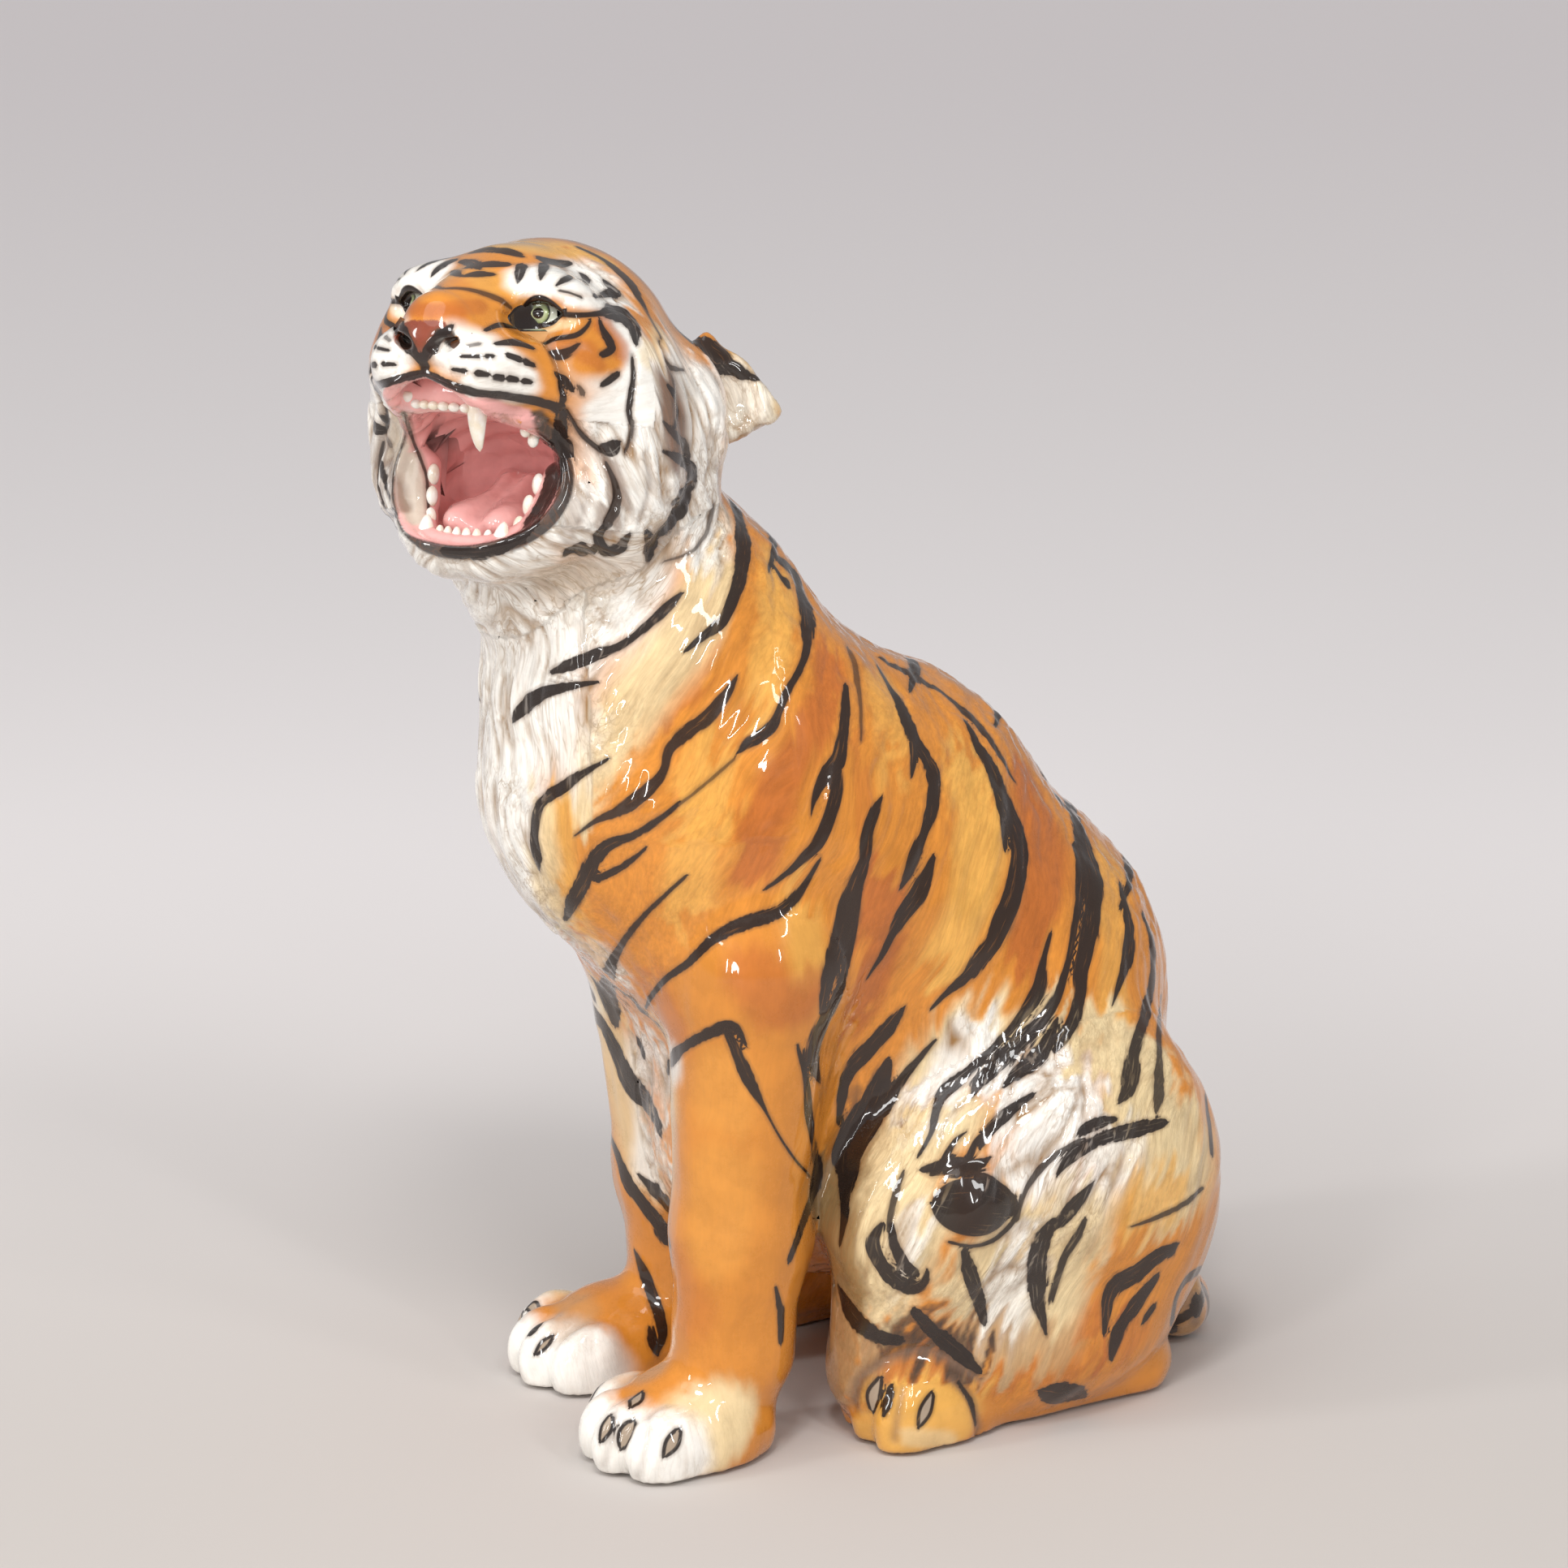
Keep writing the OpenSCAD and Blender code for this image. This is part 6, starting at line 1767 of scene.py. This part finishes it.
# %% Tooth glaze
TOOTH_WHITE, TOOTH_CREAM = (0.90, 0.87, 0.80), (0.80, 0.70, 0.54)
tooth_glaze, tree, shader, place = new_finish("tooth_glaze")
cloud = noise_of(tree, place, 160.0, 3.0)
tooth_colour = blend_colour(tree, spread(tree, cloud, 0.35, 0.75), TOOTH_WHITE, TOOTH_CREAM)
tree.links.new(tooth_colour, shader.inputs["Base Color"])
tree.links.new(spread(tree, cloud, 0.3, 0.7, 0.16, 0.28), shader.inputs["Roughness"])
set_inputs(shader, {"Coat Weight": 0.7, "Coat Roughness": 0.05})
print("finish", tooth_glaze.name)

# %% Canines
UPPER_GUM_Z, UPPER_ROW_Y = -16.0, -84.0
LOWER_GUM_Z, LOWER_ROW_Y = -72.0, -64.0
FANG_SIDES, FANG_RINGS = 20, 14
FANG_BLUNT, FANG_TAPER = 2.4, 0.30
UPPER_FANG_LONG = {"left": 17.0, "right": 1.0}


def add_fang(name, node, root, tip, r, bend):
    root, tip, bend = np.array(root, float), np.array(tip, float), np.array(bend, float)
    points, faces = [], []
    for i in range(FANG_RINGS):
        t = i / (FANG_RINGS - 1)
        middle = root * (1 - t) + tip * t + bend * 4 * t * (1 - t)
        girth = r * math.sqrt(max(1 - t ** FANG_BLUNT, 0.0)) * (1 - FANG_TAPER * t)
        ring = np.arange(FANG_SIDES) * 2 * math.pi / FANG_SIDES
        points.append(middle + girth * np.stack([np.cos(ring), np.sin(ring), 0 * ring], 1))
    points = from_head(np.concatenate(points))
    for i in range(FANG_RINGS - 1):
        low, high = i * FANG_SIDES, (i + 1) * FANG_SIDES
        for j in range(FANG_SIDES):
            k = (j + 1) % FANG_SIDES
            faces.append((low + j, low + k, high + k, high + j))
    first = len(points)
    points = np.concatenate([points, from_head(root)[None]])
    caps = [(first, (j + 1) % FANG_SIDES, j) for j in range(FANG_SIDES)]
    if tip[2] < root[2]:
        faces = [f[::-1] for f in faces]
        caps = [c[::-1] for c in caps]
    piece = add_piece(name, points, np.array(faces), np.array(caps))
    piece.data.materials.append(tooth_glaze)
    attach(piece, "root")
    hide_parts(node)
    return piece


for side, word in ((1, "left"), (-1, "right")):
    add_fang("upper_fang_" + word, "upper_canine_" + word, (side * 16, UPPER_ROW_Y - 3, UPPER_GUM_Z + 6),
             (side * 17, UPPER_ROW_Y, UPPER_GUM_Z - UPPER_FANG_LONG[word]), 5.0, (0, -2, 0))
    add_fang("lower_fang_" + word, "lower_canine_" + word, (side * 18, LOWER_ROW_Y + 4, LOWER_GUM_Z - 3),
             (side * 19, LOWER_ROW_Y + 4, LOWER_GUM_Z + 10), 4.75, (0, -1, 0))
print("canines 4")

# %% Rows of small teeth
def tooth_row_tree():
    tree = bpy.data.node_groups.new("tooth_row", "GeometryNodeTree")
    face = tree.interface
    face.new_socket("Geometry", in_out="INPUT", socket_type="NodeSocketGeometry")
    sizes = [("Width", 0.0022), ("Depth", 0.0026), ("Height", 0.005), ("Unevenness", 0.06)]
    for label, value in sizes:
        face.new_socket(label, in_out="INPUT", socket_type="NodeSocketFloat").default_value = value
    face.new_socket("Turn", in_out="INPUT", socket_type="NodeSocketVector")
    face.new_socket("Glaze", in_out="INPUT", socket_type="NodeSocketMaterial")
    face.new_socket("Geometry", in_out="OUTPUT", socket_type="NodeSocketGeometry")
    put = tree.nodes.new("NodeGroupInput")
    out = tree.nodes.new("NodeGroupOutput")
    tooth = tree.nodes.new("GeometryNodeMeshUVSphere")
    tooth.inputs["Segments"].default_value = 14
    tooth.inputs["Rings"].default_value = 10
    tooth.inputs["Radius"].default_value = 1.0
    size = tree.nodes.new("ShaderNodeCombineXYZ")
    for i, label in enumerate(("Width", "Depth", "Height")):
        tree.links.new(put.outputs[label], size.inputs[i])
    shape = tree.nodes.new("GeometryNodeTransform")
    tree.links.new(tooth.outputs["Mesh"], shape.inputs["Geometry"])
    tree.links.new(size.outputs[0], shape.inputs["Scale"])
    uneven = tree.nodes.new("FunctionNodeRandomValue")
    uneven.data_type = "FLOAT"
    low = tree.nodes.new("ShaderNodeMath")
    low.operation = "SUBTRACT"
    low.inputs[0].default_value = 1.0
    tree.links.new(put.outputs["Unevenness"], low.inputs[1])
    tree.links.new(low.outputs[0], uneven.inputs[2])
    uneven.inputs[3].default_value = 1.0
    uneven.inputs["Seed"].default_value = 11
    row = tree.nodes.new("GeometryNodeInstanceOnPoints")
    tree.links.new(put.outputs["Geometry"], row.inputs["Points"])
    tree.links.new(shape.outputs[0], row.inputs["Instance"])
    tree.links.new(put.outputs["Turn"], row.inputs["Rotation"])
    tree.links.new(uneven.outputs[1], row.inputs["Scale"])
    real = tree.nodes.new("GeometryNodeRealizeInstances")
    smooth = tree.nodes.new("GeometryNodeSetShadeSmooth")
    glazed = tree.nodes.new("GeometryNodeSetMaterial")
    tree.links.new(row.outputs[0], real.inputs[0])
    tree.links.new(real.outputs[0], smooth.inputs[0])
    tree.links.new(smooth.outputs[0], glazed.inputs["Geometry"])
    tree.links.new(put.outputs["Glaze"], glazed.inputs["Material"])
    tree.links.new(glazed.outputs[0], out.inputs[0])
    return tree


tooth_row = tooth_row_tree()
row_input = {s.name: s.identifier for s in tooth_row.interface.items_tree if s.in_out == "INPUT"}
head_euler = Matrix(head_turn.tolist()).to_euler()


def add_tooth_row(name, node, places, half_size):
    mesh = bpy.data.meshes.new(name + "_points")
    mesh.from_pydata([tuple(v) for v in from_head(np.array(places, float)) * MM], [], [])
    maker = bpy.data.objects.new(name + "_points", mesh)
    bpy.context.scene.collection.objects.link(maker)
    row = maker.modifiers.new("row", "NODES")
    row.node_group = tooth_row
    for label, value in zip(("Width", "Depth", "Height"), half_size):
        row[row_input[label]] = value * MM
    row[row_input["Turn"]] = tuple(head_euler)
    row[row_input["Glaze"]] = tooth_glaze
    bpy.context.view_layer.update()
    done = maker.evaluated_get(bpy.context.evaluated_depsgraph_get())
    result = bpy.data.meshes.new_from_object(done)
    piece = bpy.data.objects.new(name, result)
    bpy.context.scene.collection.objects.link(piece)
    maker.modifiers.clear()
    bpy.data.objects.remove(maker)
    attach(piece, "root")
    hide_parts(node)
    return len(result.polygons)


INCISOR_W, INCISOR_STEP, ROW_BOW = 4.4, 1.08, 0.35
CHEEK_W = 6.0
UPPER_INCISOR = (INCISOR_W * 0.60, INCISOR_W * 0.6, 2.1)
LOWER_INCISOR = (INCISOR_W / 2, INCISOR_W * 0.6, 5.0)
UPPER_CHEEK = (CHEEK_W * 0.42, CHEEK_W * 0.45, 3.4)
LOWER_CHEEK = (CHEEK_W * 0.47, CHEEK_W * 0.5, 5.0)


def incisor_places(front_y, gum_z):
    return [(i * INCISOR_W * INCISOR_STEP, front_y + ROW_BOW * i * i, gum_z + 1) for i in np.arange(6) - 2.5]


upper_places = incisor_places(UPPER_ROW_Y - 9, UPPER_GUM_Z)
lower_places = incisor_places(LOWER_ROW_Y + 1, LOWER_GUM_Z)
made = add_tooth_row("upper_incisor_row", "upper_incisors", upper_places, UPPER_INCISOR)
made += add_tooth_row("lower_incisor_row", "lower_incisors", lower_places, LOWER_INCISOR)
for side, word in ((1, "left"), (-1, "right")):
    first_z = UPPER_GUM_Z + (-2 if side > 0 else 4)
    upper = [(side * (26 + 1.5 * i), UPPER_ROW_Y + 15 + 5 * i, first_z - 4 * i) for i in range(3)]
    lower = [(side * (22 + 2 * i), LOWER_ROW_Y + 12 + 3.5 * i, LOWER_GUM_Z + 8 + 9.5 * i) for i in range(3)]
    made += add_tooth_row("upper_cheek_row_" + word, "upper_cheek_teeth_" + word, upper, UPPER_CHEEK)
    made += add_tooth_row("lower_cheek_row_" + word, "lower_cheek_teeth_" + word, lower, LOWER_CHEEK)
print("faces in the rows", made)

# %% [markdown]
# ## Tongue
#
# The tongue is one soft lump with a groove along its middle and raised edges, made as the skin is: a field
# in the head's frame, meshed on a finer grid.

# %% The tongue
TONGUE_LOW, TONGUE_HIGH = np.array([-28.0, -62.0, -86.0]), np.array([28.0, 14.0, -34.0])
TONGUE_CELL = 1.2
TASTE_WIDE, TASTE_HIGH = 3.0, 0.5


def tongue_clay(q):
    s = mirrored(q)
    body = run_together([
        (limb(s, (0, -44, -69), 8, (0, -10, -54), 15), 0),
        (ball(s, (10, -29, -64), (22, 54, 21)), 8),
    ])
    groove = limb(s, (0, -52, -60), 2.2, (0, -6, -36), 3)
    return soft_max(body, -groove, 5)


tongue_points, tongue_quads = mesh_of(tongue_clay, TONGUE_LOW, TONGUE_HIGH, TONGUE_CELL)
tongue_points = settle(tongue_clay, tongue_points)
tongue_normals = slope_of(tongue_clay, tongue_points)[0]
taste = clay_noise(tongue_points / TASTE_WIDE, 4) - 0.5
tongue_points = tongue_points + tongue_normals * (taste * TASTE_HIGH)[:, None]
n = len(tongue_points)
# The tongue's pinks are paler than its glaze: painted light for the shade inside the mouth.
back = np.clip((tongue_points[:, 1] + 45) / 50, 0, 1)[:, None]
tongue_layers = {
    "glaze": np.c_[np.array(PALE_PINK) * (1 - back) + np.array(PINK) * back, np.zeros(n)],
    "stripe": np.tile(NO_STROKE, (n, 1)), "brush": np.zeros((n, 3)), "fur_place": tongue_points,
    "eye": np.full((n, 3), NO_EYE),
}
no_triangles = np.zeros((0, 3), int)
tongue_out = tongue_normals @ head_turn.T
tongue = add_piece(
    "tongue_glazed", from_head(tongue_points), tongue_quads, no_triangles, tongue_out, tongue_layers)
tongue.data.materials.append(GLAZES["mouth_glaze"])
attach(tongue, "root")
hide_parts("tongue")
print("tongue faces", len(tongue_quads))

# %% [markdown]
# ## Felt
#
# A thin dark felt pad is glued under each foot, and its near black also stands for the contact shadow along
# the bottom of the feet, so it is partly painted shade. The imported solids have the right shape, so they
# stay
# and get a felt finish: fibres as a fine noise in colour and bump, and almost no gloss.

# %% Felt pads
# The near black of the pads stands partly for the contact shadow under the feet: painted shade.
FELT_DARK, FELT_LIGHT = (0.020, 0.016, 0.014), (0.060, 0.050, 0.045)
FELT_NAP = 0.0004
felt, tree, shader, place = new_finish("felt")
fibre = noise_of(tree, place, 1400.0, 4.0, 0.7)
felt_colour = blend_colour(tree, spread(tree, fibre, 0.35, 0.65), FELT_DARK, FELT_LIGHT)
tree.links.new(felt_colour, shader.inputs["Base Color"])
set_inputs(shader, {"Roughness": 0.95, "Sheen Weight": 0.3})
bump_by(tree, shader, fibre, FELT_NAP)
pads = [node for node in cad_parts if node.startswith("felt_")]
for pad in pads:
    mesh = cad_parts[pad].data
    mesh.materials.clear()
    mesh.materials.append(felt)
print("felt pads", len(pads))

# %% [markdown]
# ## Studio
#
# The figure stands on a pale sweep of paper, whose colour is darker near the camera and greyer far off,
# brightest a little behind the figure: painted light. Seven narrow soft boxes give the highlights in the
# glaze, two wide suns stand for the bright ceiling and the room in front, and an even pale surrounding fills
# the shade.

# %% Floor
FLOOR_NEAR, FLOOR_MID, FLOOR_FAR = (0.55, 0.51, 0.48), (0.93, 0.88, 0.87), (0.88, 0.82, 0.82)
FLOOR_HALF = 14.0
floor_mesh = bpy.data.meshes.new("floor")
corners = [(-1, -1), (1, -1), (1, 1), (-1, 1)]
floor_mesh.from_pydata([(x * FLOOR_HALF, y * FLOOR_HALF, 0) for x, y in corners], [], [(0, 1, 2, 3)])
floor = bpy.data.objects.new("floor", floor_mesh)
bpy.context.scene.collection.objects.link(floor)
paper, tree, shader, place = new_finish("paper")
x, y, _ = parts_of(tree, place)
across = times(tree, x, -math.sin(CAMERA_AZIMUTH))
away = minus(tree, across, times(tree, y, -math.cos(CAMERA_AZIMUTH)))
# Painted light: the paper is darker near the camera, brightest a little behind the figure, and greyer far
# off.
paper_with_painted_light = blend_colour(tree, spread(tree, away, -0.3, 1.1), FLOOR_NEAR, FLOOR_MID)
paper_with_painted_light = blend_colour(tree, spread(tree, away, 1.4, 6.0), paper_with_painted_light, FLOOR_FAR)
tree.links.new(paper_with_painted_light, shader.inputs["Base Color"])
set_inputs(shader, {"Roughness": 0.9, "Specular IOR Level": 0.1})
floor_mesh.materials.append(paper)
print("floor", FLOOR_HALF * 2, "m wide")

# %% Lights
WORLD_TINT, WORLD_POWER = (0.97, 0.98, 1.0, 1), 0.34
SOFT_BOXES = {
    "over_box": (-0.10, 1.12, 1.40, 0.30, 0.46, 8),
    "window_box": (-0.75, 0.45, 1.75, 0.26, 0.60, 6),
    "flank_box": (0.50, 0.95, 1.55, 0.20, 0.50, 4),
    "left_box": (-1.55, 0.50, 0.80, 0.20, 0.75, 7),
    "right_box": (1.10, 0.72, 1.30, 0.18, 0.50, 3),
    "side_box": (0.88, 0.10, 1.45, 0.07, 0.50, 3),
    "low_box": (-0.62, -0.36, 1.52, 0.05, 0.36, 1.6),
}
SUNS = {"ceiling": (-0.35, 1.0, 0.55, 0.86, 50, True), "room_front": (-0.20, -0.06, 1.0, 0.64, 60, False)}
world = bpy.data.worlds.new("world")
bpy.context.scene.world = world
world.use_nodes = True
world.node_tree.nodes["Background"].inputs[0].default_value = WORLD_TINT
world.node_tree.nodes["Background"].inputs[1].default_value = WORLD_POWER


def hang(name, kind_of, power, right, up, back):
    """A lamp out from the figure by so much to the right, up and back of the view, turned to face it."""
    lamp = bpy.data.lights.new(name, kind_of)
    lamp.energy = power
    out = Vector((view_right * right + view_up * up + view_back * back).tolist())
    light = bpy.data.objects.new(name, lamp)
    light.location = Vector((CAMERA_TARGET * MM).tolist()) + out
    light.rotation_euler = (-out).to_track_quat("-Z", "Y").to_euler()
    bpy.context.scene.collection.objects.link(light)
    return light


for name, (right, up, back, width, height, power) in SOFT_BOXES.items():
    box = hang(name, "AREA", power, right, up, back)
    box.data.shape = "ELLIPSE"
    box.data.size, box.data.size_y = width, height
for name, (right, up, back, power, wide, in_gloss) in SUNS.items():
    sun = hang(name, "SUN", power, right, up, back)
    sun.data.angle = math.radians(wide)
    sun.visible_glossy = in_gloss
bpy.context.scene.view_settings.view_transform = "Standard"
print("lights", len(SOFT_BOXES) + len(SUNS))
